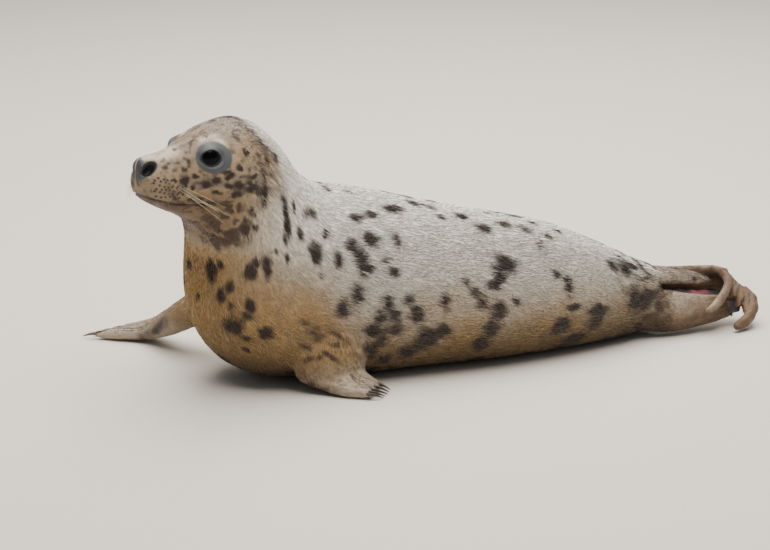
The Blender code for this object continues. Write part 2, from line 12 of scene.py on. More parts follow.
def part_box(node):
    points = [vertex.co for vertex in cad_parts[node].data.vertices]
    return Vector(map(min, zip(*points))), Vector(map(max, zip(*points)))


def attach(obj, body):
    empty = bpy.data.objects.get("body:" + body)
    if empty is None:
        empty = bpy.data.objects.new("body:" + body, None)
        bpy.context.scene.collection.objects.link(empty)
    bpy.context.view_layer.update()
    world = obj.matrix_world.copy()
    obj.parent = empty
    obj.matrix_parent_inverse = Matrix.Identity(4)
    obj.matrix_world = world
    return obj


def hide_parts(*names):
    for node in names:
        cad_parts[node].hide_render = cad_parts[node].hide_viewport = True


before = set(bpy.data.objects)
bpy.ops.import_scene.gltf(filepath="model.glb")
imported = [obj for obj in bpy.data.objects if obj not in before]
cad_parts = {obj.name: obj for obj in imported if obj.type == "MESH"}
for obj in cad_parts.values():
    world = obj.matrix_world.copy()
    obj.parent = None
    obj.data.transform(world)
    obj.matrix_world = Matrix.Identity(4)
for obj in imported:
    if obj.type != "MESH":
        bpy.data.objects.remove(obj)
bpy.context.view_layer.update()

bl_info = {
    "name": "Grey Seal Looks",
    "version": (1, 0, 0),
    "blender": (4, 5, 0),
    "location": "View3D > Sidebar > Seal",
    "description": "Skin, coat, eyes, claws and whiskers of a young grey seal, and the stage it is shown on",
    "category": "Object",
}

FLIPPERS = ("fore_flipper_left", "fore_flipper_right", "hind_flipper_left", "hind_flipper_right")
FLESH = ("head", "neck", "trunk", "tail", *FLIPPERS)
CLAWS = tuple(f"{flipper}_claw_{number}" for flipper in FLIPPERS for number in range(1, 6))
UP = np.array((0.0, 0.0, 1.0))
MM = 0.001


# Frames and lines that the pieces are placed by


def unit(rows):
    rows = np.asarray(rows, float)
    return rows / np.maximum(np.linalg.norm(rows, axis=-1, keepdims=True), 1e-12)


def node_middle(node):
    low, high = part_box(node)
    return np.array((low + high) / 2)


EYE_CENTRE = {"left": node_middle("eye_left"), "right": node_middle("eye_right")}
EYE_RADIUS = (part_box("eye_left")[1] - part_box("eye_left")[0]).z / 2
EYE_BEHIND, EYE_ABOVE = 0.108, 0.004  # from the nose to the line between the eyes
HEAD_LEFT = unit((EYE_CENTRE["left"] - EYE_CENTRE["right"]) * (1, 1, 0))
HEAD_BACK = np.cross(UP, HEAD_LEFT)
HEAD_AXES = np.stack([HEAD_BACK, HEAD_LEFT, UP])
NOSE = (EYE_CENTRE["left"] + EYE_CENTRE["right"]) / 2 - EYE_BEHIND * HEAD_BACK - EYE_ABOVE * UP

# The line that the hairs follow from the nose to the tail, and those down the flippers
SPINE = (
    (-0.505, -0.117, 0.353), (-0.480, -0.109, 0.340), (-0.430, -0.092, 0.333), (-0.385, -0.077, 0.325),
    (-0.350, -0.063, 0.285), (-0.325, -0.056, 0.225), (-0.280, -0.043, 0.175), (-0.200, -0.022, 0.143),
    (-0.040, 0.000, 0.120), (0.185, 0.000, 0.093), (0.340, -0.002, 0.070), (0.470, -0.007, 0.077),
)
DORSAL = np.array((0.8, 0.0, 1.0))  # leans towards the back of both the raised neck and the trunk
FLIPPER_LINES = {
    "fore_flipper_left": (
        (-0.210, -0.080, 0.130), (-0.212, -0.130, 0.090), (-0.215, -0.150, 0.055),
        (-0.205, -0.163, 0.028), (-0.175, -0.190, 0.011), (-0.150, -0.210, 0.0065),
    ),
    "fore_flipper_right": (
        (-0.255, 0.055, 0.120), (-0.305, 0.085, 0.095), (-0.345, 0.120, 0.070), (-0.370, 0.165, 0.040),
        (-0.390, 0.210, 0.020), (-0.420, 0.238, 0.012), (-0.465, 0.265, 0.006),
    ),
    "hind_flipper_left": ((0.320, -0.034, 0.052), (0.415, -0.037, 0.036), (0.510, -0.008, 0.031)),
    "hind_flipper_right": (
        (0.320, 0.036, 0.068), (0.420, 0.036, 0.068), (0.495, 0.026, 0.066), (0.515, 0.009, 0.060),
        (0.518, -0.012, 0.050), (0.509, -0.030, 0.037), (0.465, -0.062, 0.030),
    ),
}


def head_point(behind, aside, above):
    """A point given behind the nose, to the animal's left of the middle, and above the nose."""
    return NOSE + np.array((behind, aside, above)) @ HEAD_AXES


def head_place(points):
    """The same three numbers for points, as columns."""
    return (points - NOSE) @ HEAD_AXES.T


def face_place(points):
    """The same, with both sides of the head taken as one."""
    behind, aside, above = head_place(points).T
    return np.stack([behind, np.abs(aside), above], 1)


def on_left(points):
    """The points, with those of the right side moved across to their mirror places."""
    return np.stack([points[:, 0], -np.abs(points[:, 1]), points[:, 2]], 1)


def through(points, count):
    """Points evenly read along a smooth curve through the given ones."""
    rows = np.asarray(points, float)
    rows = np.vstack([2 * rows[0] - rows[1], rows, 2 * rows[-1] - rows[-2]])
    places = np.linspace(0, len(rows) - 3, count)
    first = np.clip(places.astype(int), 0, len(rows) - 4)
    t = (places - first)[:, None]
    a, b, c, d = (rows[first + k] for k in range(4))
    return 0.5 * (2 * b + (c - a) * t + (2 * a - 5 * b + 4 * c - d) * t**2 + (3 * b - a - 3 * c + d) * t**3)


def ease(low, high, value):
    """0 below the low value, 1 above the high one, and smooth between."""
    t = np.clip((value - low) / (high - low), 0, 1)
    return t * t * (3 - 2 * t)


def fade(low, high, value):
    return 1 - ease(low, high, value)


def bell(value, middle, width):
    """1 at the middle, falling away on both sides."""
    return np.exp(-(((value - middle) / width) ** 2))


def most(*masks):
    """The greatest of several masks, point by point."""
    return np.maximum.reduce(masks)


HASH_CELL = np.array((73856093, 19349663, 83492791))  # primes that scatter neighbouring cells
HASH_TURNS = ((13, 1274126177), (16, 668265263))


def noise(points, size, seed=0):
    """Smooth noise from -1 to 1, with features about size metres across."""
    cells = np.asarray(points) / size + 1000.0 + 31.7 * seed
    base = np.floor(cells).astype(np.int64)
    part = cells - base
    part = part * part * (3 - 2 * part)
    total = np.zeros(len(base))
    for corner in range(8):
        offset = np.array((corner & 1, corner >> 1 & 1, corner >> 2 & 1))
        mixed = ((base + offset) * HASH_CELL).sum(1) + seed * 7919
        for shift, factor in HASH_TURNS:
            mixed = ((mixed ^ (mixed >> shift)) * factor) & 0x7FFFFFFF
        total += np.where(offset, part, 1 - part).prod(1) * ((mixed & 0xFFFF) / 32767.5 - 1)
    return total


CHUNK = 20000  # how many points are compared with a line's samples at once


def chart(points, line):
    """Distance along a line, angle round it, distance out, and the line's direction, for each point.

    The angle is 0 at the back and positive to the left.
    """
    samples = through(line, 160)
    steps = np.gradient(samples, axis=0)
    along = np.concatenate([[0], np.cumsum(np.linalg.norm(np.diff(samples, axis=0), axis=1))])
    nearest = np.empty(len(points), int)
    for start in range(0, len(points), CHUNK):
        arm = points[start : start + CHUNK, None] - samples[None]
        nearest[start : start + CHUNK] = (arm**2).sum(2).argmin(1)
    tangent = unit(steps[nearest])
    out = points - samples[nearest]
    travel = along[nearest] + (out * tangent).sum(1)
    dorsal = unit(DORSAL - (DORSAL * tangent).sum(1, keepdims=True) * tangent)
    aside = np.cross(tangent, dorsal)
    angle = np.arctan2((out * aside).sum(1), (out * dorsal).sum(1))
    return travel, angle, np.linalg.norm(out, axis=1), tangent


# Mesh helpers


def fetched(items, field, width, kind=np.float32):
    """One field of all of a mesh's points, edges, corners or triangles, as rows."""
    flat = np.empty(len(items) * width, kind)
    items.foreach_get(field, flat)
    return flat.reshape(-1, width)


def positions(mesh):
    return fetched(mesh.vertices, "co", 3).astype(float)


def normals(mesh):
    return fetched(mesh.vertex_normals, "vector", 3).astype(float)


def triangles(mesh, field="vertices"):
    """Each triangle's three points, or its three corners where the field is loops."""
    mesh.calc_loop_triangles()
    return fetched(mesh.loop_triangles, field, 3, np.int32)


def edge_pairs(mesh):
    return fetched(mesh.edges, "vertices", 2, np.int32)


@contextlib.contextmanager
def edited(mesh):
    """The mesh opened for bmesh's tools, and written back after."""
    bm = bmesh.new()
    bm.from_mesh(mesh)
    yield bm
    bm.to_mesh(mesh)
    bm.free()


def ray_tree(mesh):
    """What rays are cast at to find places on a mesh."""
    return BVHTree.FromPolygons(positions(mesh).tolist(), triangles(mesh).tolist())


def move_to(mesh, points):
    mesh.vertices.foreach_set("co", np.asarray(points, np.float32).ravel())
    mesh.update()


KINDS = {1: ("FLOAT", "value"), 3: ("FLOAT_VECTOR", "vector"), 4: ("FLOAT_COLOR", "color")}


def write(mesh, name, values):
    """Keeps numbers on a mesh's points: one each, three each, or a colour of four."""
    values = np.asarray(values, np.float32)
    kind, field = KINDS[1 if values.ndim == 1 else values.shape[1]]
    mesh.attributes.new(name, kind, "POINT").data.foreach_set(field, values.ravel())


def read(mesh, name):
    """Reads back what write keeps."""
    attribute = mesh.attributes[name]
    for width, (kind, field) in KINDS.items():
        if kind == attribute.data_type:
            rows = fetched(attribute.data, field, width).astype(float)
            return rows[:, 0] if width == 1 else rows


def spread(values, pairs, share, rounds):
    """Evens out values between neighbouring points; share may differ from point to point."""
    values = np.array(values, float)
    flat = values.ndim == 1
    values = values[:, None] if flat else values
    count = np.maximum(np.bincount(pairs.ravel(), minlength=len(values)), 1)[:, None]
    a, b = pairs.T
    share = np.broadcast_to(np.asarray(share, float), (len(values),))[:, None]
    for _ in range(rounds):
        total = [
            np.bincount(a, column[b], len(values)) + np.bincount(b, column[a], len(values))
            for column in values.T
        ]
        values += share * (np.stack(total, 1) / count - values)
    return values[:, 0] if flat else values


def new_object(name, mesh, material=None):
    obj = bpy.data.objects.new(name, mesh)
    bpy.context.scene.collection.objects.link(obj)
    if material:
        mesh.materials.append(material)
    mesh.polygons.foreach_set("use_smooth", np.ones(len(mesh.polygons), bool))
    return obj


def mesh_from(name, points, faces):
    """A mesh from arrays of points and of triangles."""
    mesh = bpy.data.meshes.new(name)
    mesh.vertices.add(len(points))
    mesh.vertices.foreach_set("co", np.asarray(points, np.float32).ravel())
    faces = np.asarray(faces, np.int32)
    mesh.loops.add(faces.size)
    mesh.loops.foreach_set("vertex_index", faces.ravel())
    mesh.polygons.add(len(faces))
    mesh.polygons.foreach_set("loop_start", np.arange(0, faces.size, faces.shape[1], dtype=np.int32))
    mesh.update(calc_edges=True)
    return mesh


def modified(obj, kind, **settings):
    """The object's mesh after one modifier, with the object itself removed."""
    modifier = obj.modifiers.new(kind.lower(), kind)
    for name, value in settings.items():
        setattr(modifier, name, value)
    bpy.context.view_layer.update()
    mesh = bpy.data.meshes.new_from_object(obj.evaluated_get(bpy.context.evaluated_depsgraph_get()))
    bpy.data.objects.remove(obj)
    return mesh


# Materials


def linear(hex_colour):
    """An sRGB hex colour as linear red, green, blue and alpha."""
    parts = [int(hex_colour[k : k + 2], 16) / 255 for k in (1, 3, 5)]
    return (*(c / 12.92 if c <= 0.04045 else ((c + 0.055) / 1.055) ** 2.4 for c in parts), 1.0)


def add(tree, kind, inputs=None, **settings):
    """Adds a node, with its inputs as outputs of others or plain values, and its settings by name."""
    node = tree.nodes.new(f"ShaderNode{kind}")
    for name, value in settings.items():
        if hasattr(node, name):
            setattr(node, name, value)
        else:
            node.inputs[name.replace("_", " ")].default_value = value
    for place, value in (inputs or {}).items():
        if isinstance(value, bpy.types.NodeSocket):
            tree.links.new(value, node.inputs[place])
        else:
            node.inputs[place].default_value = value
    return node


SMOOTH = "SMOOTHSTEP"


def surface(name, **settings):
    """A material with its shader, whose plain values are set on the shader's own sockets."""
    material = bpy.data.materials.new(name)
    material.use_nodes = True
    shader = material.node_tree.nodes["Principled BSDF"]
    for setting, value in settings.items():
        shader.inputs[setting.replace("_", " ")].default_value = value
    return material, material.node_tree, shader


def layered(tree, ground, *layers):
    """A ground colour with others laid over it in turn, each given as (how much of it shows, colour)."""
    colour = ground
    for share, over in layers:
        # a colour mix has its factor at socket 0, its two colours at 6 and 7, and gives its colour at 2
        colour = add(tree, "Mix", {0: share, 6: colour, 7: over}, data_type="RGBA").outputs[2]
    return colour


def dress(tree, shader, colour, height=None, **bump):
    """Gives a shader its colour, and its bump from a pattern of heights."""
    tree.links.new(colour, shader.inputs["Base Color"])
    if height:
        raised = add(tree, "Bump", {"Height": height}, **bump)
        tree.links.new(raised.outputs[0], shader.inputs["Normal"])


def coat_material(colours):
    """Short seal fur: each hair is glassy keratin, so the coat has a soft broad shine along its lie."""
    material, tree, shader = surface(
        "seal_fur", Roughness=0.55, Specular_IOR_Level=0.35, Sheen_Weight=0.15, Sheen_Roughness=0.5
    )
    tint, detail, lay = (add(tree, "Attribute", attribute_name=name) for name in ("tint", "detail", "lay"))
    parts = add(tree, "SeparateColor", {"Color": tint.outputs["Color"]}).outputs
    bits = add(tree, "SeparateColor", {"Color": detail.outputs["Color"]}).outputs
    # Hairs lie in strands about 1.5 mm apart and 12 mm long, drawn a little coarser than real ones to show,
    # and those in clumps about 8 mm apart. Bare skin has neither.
    patterns = []
    for scale, finer, rough in (((90, 620, 620), 3.0, 0.6), ((28, 130, 130), 2.0, 0.5)):
        place = add(tree, "Mapping", {"Vector": lay.outputs["Vector"]}, Scale=scale).outputs[0]
        pattern = add(tree, "TexNoise", {"Vector": place}, Scale=1.0, Detail=finer, Roughness=rough)
        patterns.append(layered(tree, pattern.outputs["Fac"], (bits["Red"], (0.5, 0.5, 0.5, 1.0))))
    strands, clumps = patterns
    ragged = add(tree, "Math", {0: strands, 1: 0.30, 2: -0.15}, operation="MULTIPLY_ADD")
    mark = add(tree, "Math", {0: parts["Red"], 1: ragged.outputs[0]}, operation="ADD").outputs[0]
    blotch = add(tree, "MapRange", {"Value": mark}, From_Min=0.08, From_Max=1.0, interpolation_type=SMOOTH)
    colour = layered(
        tree,
        colours.silver,
        (parts["Green"], colours.buff),
        (tint.outputs["Alpha"], colours.smoke),
        (parts["Blue"], colours.cream),
        (blotch.outputs[0], colours.blotch),
        # brown, in the hind flippers' colour: the hind flippers, the chin, and painted shade towards the
        # floor
        (bits["Blue"], colours.flipper),
        (bits["Red"], colours.slate),
    )
    light = add(tree, "MapRange", {"Value": strands}, From_Min=0.3, From_Max=0.7, To_Min=0.84, To_Max=1.16)
    # the detail's brightness, which carries painted shade and a painted gleam
    shade = add(tree, "Math", {0: light.outputs[0], 1: bits["Green"]}, operation="MULTIPLY")
    shaded = add(tree, "VectorMath", {0: colour, "Scale": shade.outputs[0]}, operation="SCALE")
    height = add(tree, "Math", {0: strands, 1: clumps}, operation="ADD")
    dress(tree, shader, shaded.outputs[0], height.outputs[0], Strength=0.6, Distance=0.0012)
    return material


def web_material(colours):
    """Bare web: thin damp leathery skin, darker than the fur, flushed where it is stretched."""
    material, tree, shader = surface("web_leather", Roughness=0.42, Specular_IOR_Level=0.5)
    flush = add(tree, "Attribute", attribute_name="flush")
    place = add(tree, "TexCoord")
    # Creases about 2 mm apart, as on real flipper webs
    pattern = add(tree, "TexNoise", {"Vector": place.outputs["Object"]}, Scale=450.0, Detail=3.0)
    creases = pattern.outputs["Fac"]
    colour = layered(tree, colours.web, (creases, colours.slate), (flush.outputs["Fac"], colours.flush))
    dress(tree, shader, colour, creases, Strength=0.5, Distance=0.0006)
    return material


def eye_material(colours):
    """The wet cornea over a nearly black eye: the gloss of clear water, with the IOR of tears."""
    material, tree, shader = surface("wet_eye", Roughness=0.10, IOR=1.336, Specular_IOR_Level=0.15)
    place = add(tree, "TexCoord")
    front = {0: place.outputs["Generated"], 1: (0.5, 0.5, 1.0)}
    away = add(tree, "VectorMath", front, operation="DISTANCE").outputs["Value"]
    iris = add(tree, "MapRange", {"Value": away}, From_Min=0.24, From_Max=0.42, interpolation_type=SMOOTH)
    dress(tree, shader, layered(tree, colours.pupil, (iris.outputs[0], colours.iris)))
    return material


def claw_material(colours):
    """Horn claws: dark keratin, polished by wear, with fine paler lines along them."""
    material, tree, shader = surface("horn", Roughness=0.32, IOR=1.54)
    place = add(tree, "TexCoord")
    lines = add(tree, "TexNoise", {"Vector": place.outputs["Object"]}, Scale=900.0, Detail=2.0)
    grain = lines.outputs["Fac"]
    age = add(tree, "Attribute", attribute_name="age")
    tone = add(tree, "Math", {0: grain, 1: age.outputs["Fac"]}, operation="MULTIPLY")
    colour = layered(tree, colours.horn, (tone.outputs[0], colours.horn_pale))
    dress(tree, shader, colour, grain, Strength=0.3, Distance=0.0002)
    return material


def whisker_material(colours):
    """Whiskers: stiff translucent keratin, amber at the root and clear towards the tip."""
    material, tree, shader = surface("whisker_keratin", Roughness=0.35, IOR=1.54)
    tone = add(tree, "Attribute", attribute_name="tone")
    dress(tree, shader, layered(tree, colours.whisker_root, (tone.outputs["Fac"], colours.whisker)))
    return material


def floor_material(colours):
    """Matt painted floor: the fine stipple of a roller, about 2.5 mm across."""
    material, tree, shader = surface("matt_paint", Roughness=0.85)
    place = add(tree, "TexCoord")
    stipple = add(tree, "TexNoise", {"Vector": place.outputs["Object"]}, Scale=400.0, Detail=2.0)
    dress(tree, shader, layered(tree, colours.floor, (stipple.outputs["Fac"], colours.floor_shade)))
    return material


# The skin

EYES = ("eye_left", "eye_right")
HEAD_NODES = ("head", *EYES)
SKIN_NODES = (*FLESH, *EYES)


def flesh_mesh():
    """All the flesh and the eyeballs in one mesh, a tree to find its faces by, and each face's node."""
    bm = bmesh.new()
    owner = []
    for number, name in enumerate(SKIN_NODES):
        bm.from_mesh(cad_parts[name].data)
        owner += [number] * (len(bm.faces) - len(owner))
    bmesh.ops.triangulate(bm, faces=bm.faces)
    mesh = bpy.data.meshes.new("flesh")
    bm.to_mesh(mesh)
    tree = BVHTree.FromBMesh(bm)
    bm.free()
    return mesh, tree, owner


def nearest_nodes(points, tree, owner):
    return np.array([owner[tree.find_nearest(point)[2]] for point in points])


def is_of(numbers, *names):
    """1 where the nearest node is one of those named."""
    return np.isin(numbers, [SKIN_NODES.index(name) for name in names]).astype(float)


def largest_piece(mesh):
    """Drops every loose part of a mesh but the largest."""
    pairs = edge_pairs(mesh)
    label = np.arange(len(mesh.vertices))
    while True:
        low = label[pairs].min(1)
        after = label.copy()
        np.minimum.at(after, pairs[:, 0], low)
        np.minimum.at(after, pairs[:, 1], low)
        after = after[after]
        if (after == label).all():
            break
        label = after
    main = np.bincount(label).argmax()
    with edited(mesh) as bm:
        bm.verts.ensure_lookup_table()
        bmesh.ops.delete(bm, geom=[bm.verts[k] for k in np.nonzero(label != main)[0]], context="VERTS")


# Where the skin is worked finely: (behind the nose, to either side, above, reach, edge length)
FINE_SKIN = (
    (EYE_BEHIND, 0.048, EYE_ABOVE, 0.031, 0.0014),
    (0.014, 0.012, -0.006, 0.024, 0.0014),
    (0.040, 0.028, -0.045, 0.036, 0.0019),
)


def refine(mesh):
    """Divides the longer edges of the skin round the eyes, nostrils and mouth."""
    with edited(mesh) as bm:
        for _ in range(2):
            place = np.array([vert.co for vert in bm.verts])
            limit = np.full(len(place), 1.0)
            for behind, aside, above, reach, length in FINE_SKIN:
                for side in (1, -1):
                    away = np.linalg.norm(place - head_point(behind, side * aside, above), axis=1)
                    limit = np.where(away < reach, np.minimum(limit, length), limit)
            bm.verts.index_update()
            allowed = [max(limit[vert.index] for vert in edge.verts) for edge in bm.edges]
            long = [edge for edge, most_long in zip(bm.edges, allowed) if edge.calc_length() > most_long]
            bmesh.ops.subdivide_edges(bm, edges=long, cuts=1)
            bmesh.ops.triangulate(bm, faces=[face for face in bm.faces if len(face.verts) > 3])


# The way the left eye looks and the way its opening runs to the inner corner, in the head's frame
EYE_OUT, EYE_ALONG = (-0.38, 0.90, 0.22), np.array((-1.0, -0.40, 0.17))
EYE_HALF_LENGTH, EYE_HALF_HEIGHT = 0.0146, 0.0118  # of the opening between the lids
OPENING_SHIFT = (-0.0020, -0.0024)  # from the eyeball's middle, along the opening and up it
RING_SIZE, RING_SHIFT = (0.0272, 0.0236), (-0.0060, -0.0014)  # the same of the bare ring round the eye
LID = 0.0012  # thickness


def eye_axes(side):
    """The directions along an eye's opening to its inner corner, up it, and out of it."""
    out = unit(EYE_OUT)
    along = unit(EYE_ALONG - (EYE_ALONG @ out) * out)
    axes = np.stack([along, np.cross(out, along), out])
    if axes[1, 2] < 0:
        axes[1] *= -1
    axes[:, 1] *= 1 if side == "left" else -1
    return axes @ HEAD_AXES


def eye_edge(points, side):
    """How far points stand outside the eye's opening, and outside its bare ring, both in the eye's plane."""
    seen = (points - EYE_CENTRE[side]) @ eye_axes(side).T
    a, b = (seen[:, :2] - OPENING_SHIFT).T
    tall = EYE_HALF_HEIGHT * (1 - 0.10 * ease(0, EYE_HALF_LENGTH, a))
    opening = (np.hypot(a / (EYE_HALF_LENGTH * (1 + 0.05 * (a > 0))), b / tall) - 1) * EYE_HALF_HEIGHT
    ring = (np.linalg.norm((seen[:, :2] - RING_SHIFT) / RING_SIZE, axis=1) - 1) * RING_SIZE[1]
    return np.where(seen[:, 2] > 0, opening, 1.0), np.where(seen[:, 2] > -0.016, ring, 1.0)


def shape_eyes(points, pairs):
    """Draws the lids over each eyeball, with an opening for it to show through."""
    for side, centre in EYE_CENTRE.items():
        opening, ring = eye_edge(points, side)
        arm = points - centre
        far = np.linalg.norm(arm, axis=1, keepdims=True)
        by_eye = (opening < 0.024)[:, None] & (far < 0.036)
        points = np.where(by_eye, centre + arm / far * np.maximum(far, EYE_RADIUS + 1.5 * LID), points)
        loose = ease(-0.002, 0.002, opening) * fade(0.003, 0.012, ring) * by_eye[:, 0]
        points = spread(points, pairs, 0.5 * loose, 45)
        # the lid rests on the eyeball, thickest at its margin, and turns in at the opening's edge
        opening, ring = eye_edge(points, side)
        arm = points - centre
        far = np.linalg.norm(arm, axis=1, keepdims=True)
        lid = EYE_RADIUS + LID + 0.0006 * bell(opening, 0.0016, 0.0012)
        lid -= (LID + 0.0030) * fade(-0.0014, 0.0004, opening)
        held = fade(0.002, 0.006, opening)[:, None]
        reach = np.maximum(far, EYE_RADIUS + 0.8 * LID)
        crease = 0.0004 * bell(opening, 0.0075, 0.0012)[:, None]
        reach = reach + held * (lid[:, None] - reach) - crease
        points = np.where(by_eye, centre + arm / far * reach, points)
        loose = ease(0.0030, 0.0050, opening) * fade(0.003, 0.012, ring) * by_eye[:, 0]
        points = spread(points, pairs, 0.5 * loose, 8)
    return points


# The left nostril in the head's frame: its middle, its half sizes, the way it slants and the way it faces
NOSTRIL_PLACE, NOSTRIL_SIZE = (0.0140, 0.0140, -0.0060), (0.0128, 0.0074, 0.0100)
NOSTRIL_ALONG, NOSTRIL_OUT = np.array((0.72, 0.20, 0.66)), (-0.60, 0.60, 0.45)


def nostril_edge(points):
    """How far points stand outside the nearer nostril's opening, across it."""
    out = unit(NOSTRIL_OUT)
    along = unit(NOSTRIL_ALONG - (NOSTRIL_ALONG @ out) * out)
    axes = np.stack([along, np.cross(out, along), out])
    inside = ((face_place(points) - NOSTRIL_PLACE) @ axes.T) / NOSTRIL_SIZE
    across = (np.hypot(inside[:, 0], inside[:, 1]) - 1) * NOSTRIL_SIZE[1]
    return np.where(np.abs(inside[:, 2]) < 1.6, across, 1.0)


# Folds of the skin: depth and half width in millimetres, then points in millimetres in the head's frame
HEAD_FOLDS = (
    (1.5, 1.6, (150, 36, 37), (160, 38, 36), (168, 41, 33)),
    (0.9, 1.6, (78, 26, 14), (90, 28, 26), (106, 30, 31), (124, 36, 29), (138, 46, 20)),
    (0.5, 1.5, (84, 42, -12), (98, 52, -20), (116, 60, -20), (132, 64, -12)),
    (0.5, 1.5, (96, 6, 28), (108, 11, 33), (122, 14, 38)),
    (0.7, 2.2, (112, 48, -66), (126, 52, -80), (136, 44, -96)),
)
# and on the body, on its left side; the right side has them mirrored
BODY_FOLDS = (
    (1.6, 4.0, (-236, -150, 92), (-205, -158, 96), (-172, -150, 88)),
    (1.4, 3.5, (-240, -158, 70), (-208, -165, 74), (-176, -158, 66)),
    (1.3, 3.0, (-240, -160, 50), (-212, -172, 54), (-180, -166, 46)),
    (2.0, 5.0, (-158, -150, 140), (-150, -146, 100), (-158, -142, 60)),
    (1.2, 5.0, (-130, -142, 130), (-128, -140, 90), (-136, -134, 55)),
    (1.8, 6.0, (-290, -60, 330), (-318, -120, 290), (-372, -126, 262)),
    (1.4, 5.0, (-262, -60, 318), (-290, -140, 262), (-352, -148, 226), (-405, -100, 230)),
    (1.2, 4.0, (318, -20, 118), (322, -60, 90), (318, -58, 52)),
    (1.2, 4.0, (338, -14, 112), (342, -54, 84), (338, -52, 48)),
)


FLAT = (1, 1, 0)  # the fore flippers' hands lie flat, and their grooves are measured from above
HAND_TOP = 0.034


def digit_grooves():
    """The grooves between the digits of the fore flippers, given as the folds are."""
    rows = []
    for flipper in FLIPPERS[:2]:
        claws = [node_middle(f"{flipper}_claw_{number}") for number in range(1, 6)]
        wrist = np.array(FLIPPER_LINES[flipper][-3 if flipper.endswith("left") else -4])
        for first, second in zip(claws, claws[1:]):
            middle = (first + second) / 2
            line = [(middle + share * (wrist - middle)) * FLAT / MM for share in (0.10, 0.38, 0.70)]
            rows.append((1.4, 1.2, *line))
    return rows


def folds(points):
    """How deep the folds of the skin press in at each point."""
    total, hands = np.zeros(len(points)), digit_grooves()
    places = (face_place(points), on_left(points), points * FLAT)
    for rows, place in zip((HEAD_FOLDS, BODY_FOLDS, hands), places):
        for depth, half, *line in rows:
            samples = through(np.array(line) * MM, 24)
            close = np.linalg.norm(place - samples.mean(0), axis=1) < 0.12
            away = ((place[close, None] - samples[None]) ** 2).sum(2)
            nearest = away.min(1) + (rows is hands) * (points[close, 2] > HAND_TOP)
            share = away.argmin(1) / (len(samples) - 1)
            soft = np.clip(4 * np.minimum(share, 1 - share) + 0.15, 0, 1)
            total[close] += depth * MM * soft * np.exp(-nearest / (half * MM) ** 2)
    return total


# The mouth's line, as (behind the nose, above the nose)
MOUTH = ((0.000, -0.037), (0.012, -0.047), (0.048, -0.059), (0.079, -0.0625), (0.104, -0.061))


def mouth_edge(points):
    """How far points stand above the mouth's line, large beyond its corners."""
    behind, _, above = head_place(points).T
    line = np.interp(behind, *zip(*MOUTH))
    return np.where((behind < MOUTH[-1][0]) & (behind > -0.01), above - line, 1.0)


def smooth_flesh(sizes):
    """The flesh as one mesh, rounded at its joins, with few faces on the trunk, and each point's node."""
    flesh, tree, owner = flesh_mesh()
    mesh = modified(new_object("flesh", flesh), "REMESH", mode="VOXEL", voxel_size=sizes.grain)
    largest_piece(mesh)
    points, pairs = positions(mesh), edge_pairs(mesh)
    node = nearest_nodes(points, tree, owner)
    plain = spread(is_of(node, "trunk", "neck"), pairs, 0.5, 40)
    limb = spread(is_of(node, *FLIPPERS[:3]), pairs, 0.5, 60)
    join = ease(0.05, 0.45, limb) * fade(0.55, 0.95, limb) * ease(0.0, 0.08, 0.30 - points[:, 0])
    points = spread(points, pairs, 0.5, 2)
    points = spread(points, pairs, 0.5 * join, 60)
    points = spread(points, pairs, 0.5 * ease(0.0, 0.3, is_of(node, *HEAD_NODES) + plain), 8)
    points = spread(points, pairs, 0.5 * ease(0.4, 1.0, plain), 70)
    move_to(mesh, points)
    obj = new_object("smooth", mesh)
    group = obj.vertex_groups.new(name="plain")
    tenths = np.round(ease(0.3, 0.9, plain) * 10)
    for level in range(11):
        group.add(np.nonzero(tenths == level)[0].tolist(), level / 10, "REPLACE")
    mesh = modified(obj, "DECIMATE", ratio=sizes.kept_share, vertex_group="plain", vertex_group_factor=1.0)
    refine(mesh)
    return mesh, nearest_nodes(positions(mesh), tree, owner)


# Where along its line a flipper's own short coat starts and where it is full, from the line's first point
FLIPPER_COAT = {"fore": (0.080, 0.150), "hind": (0.045, 0.085)}


def comb(points, pairs, node):
    """The lie of the coat, its chart for the strands, and masks of where on the animal each point is."""
    along, angle, far, lie = chart(points, SPINE)
    turn, flipper = np.abs(angle), np.zeros(len(points))
    for name in FLIPPERS:
        own = is_of(node, name) > 0
        travel, angle[own], far[own], lie[own] = chart(points[own], FLIPPER_LINES[name])
        along[own] = travel + 0.3
        flipper[own] = ease(*FLIPPER_COAT[name[:4]], travel)
    head = ease(0.15, 0.85, spread(is_of(node, *HEAD_NODES), pairs, 0.5, 20))
    head = head * fade(0.15, 0.21, head_place(points)[:, 0])
    lie[:, 2] -= 0.22 * (1 - flipper) * (1 - head)
    masks = {
        "turn": turn,
        "flipper": spread(flipper, pairs, 0.5, 6),
        "hind": spread(is_of(node, *FLIPPERS[2:]), pairs, 0.5, 6),
        "head": head,
        "tail": spread(is_of(node, "tail"), pairs, 0.5, 8),
    }
    lay = np.stack([along, angle * np.maximum(far, 0.01), np.zeros(len(points))], 1)
    return unit(spread(lie, pairs, 0.5, 12)), lay, masks


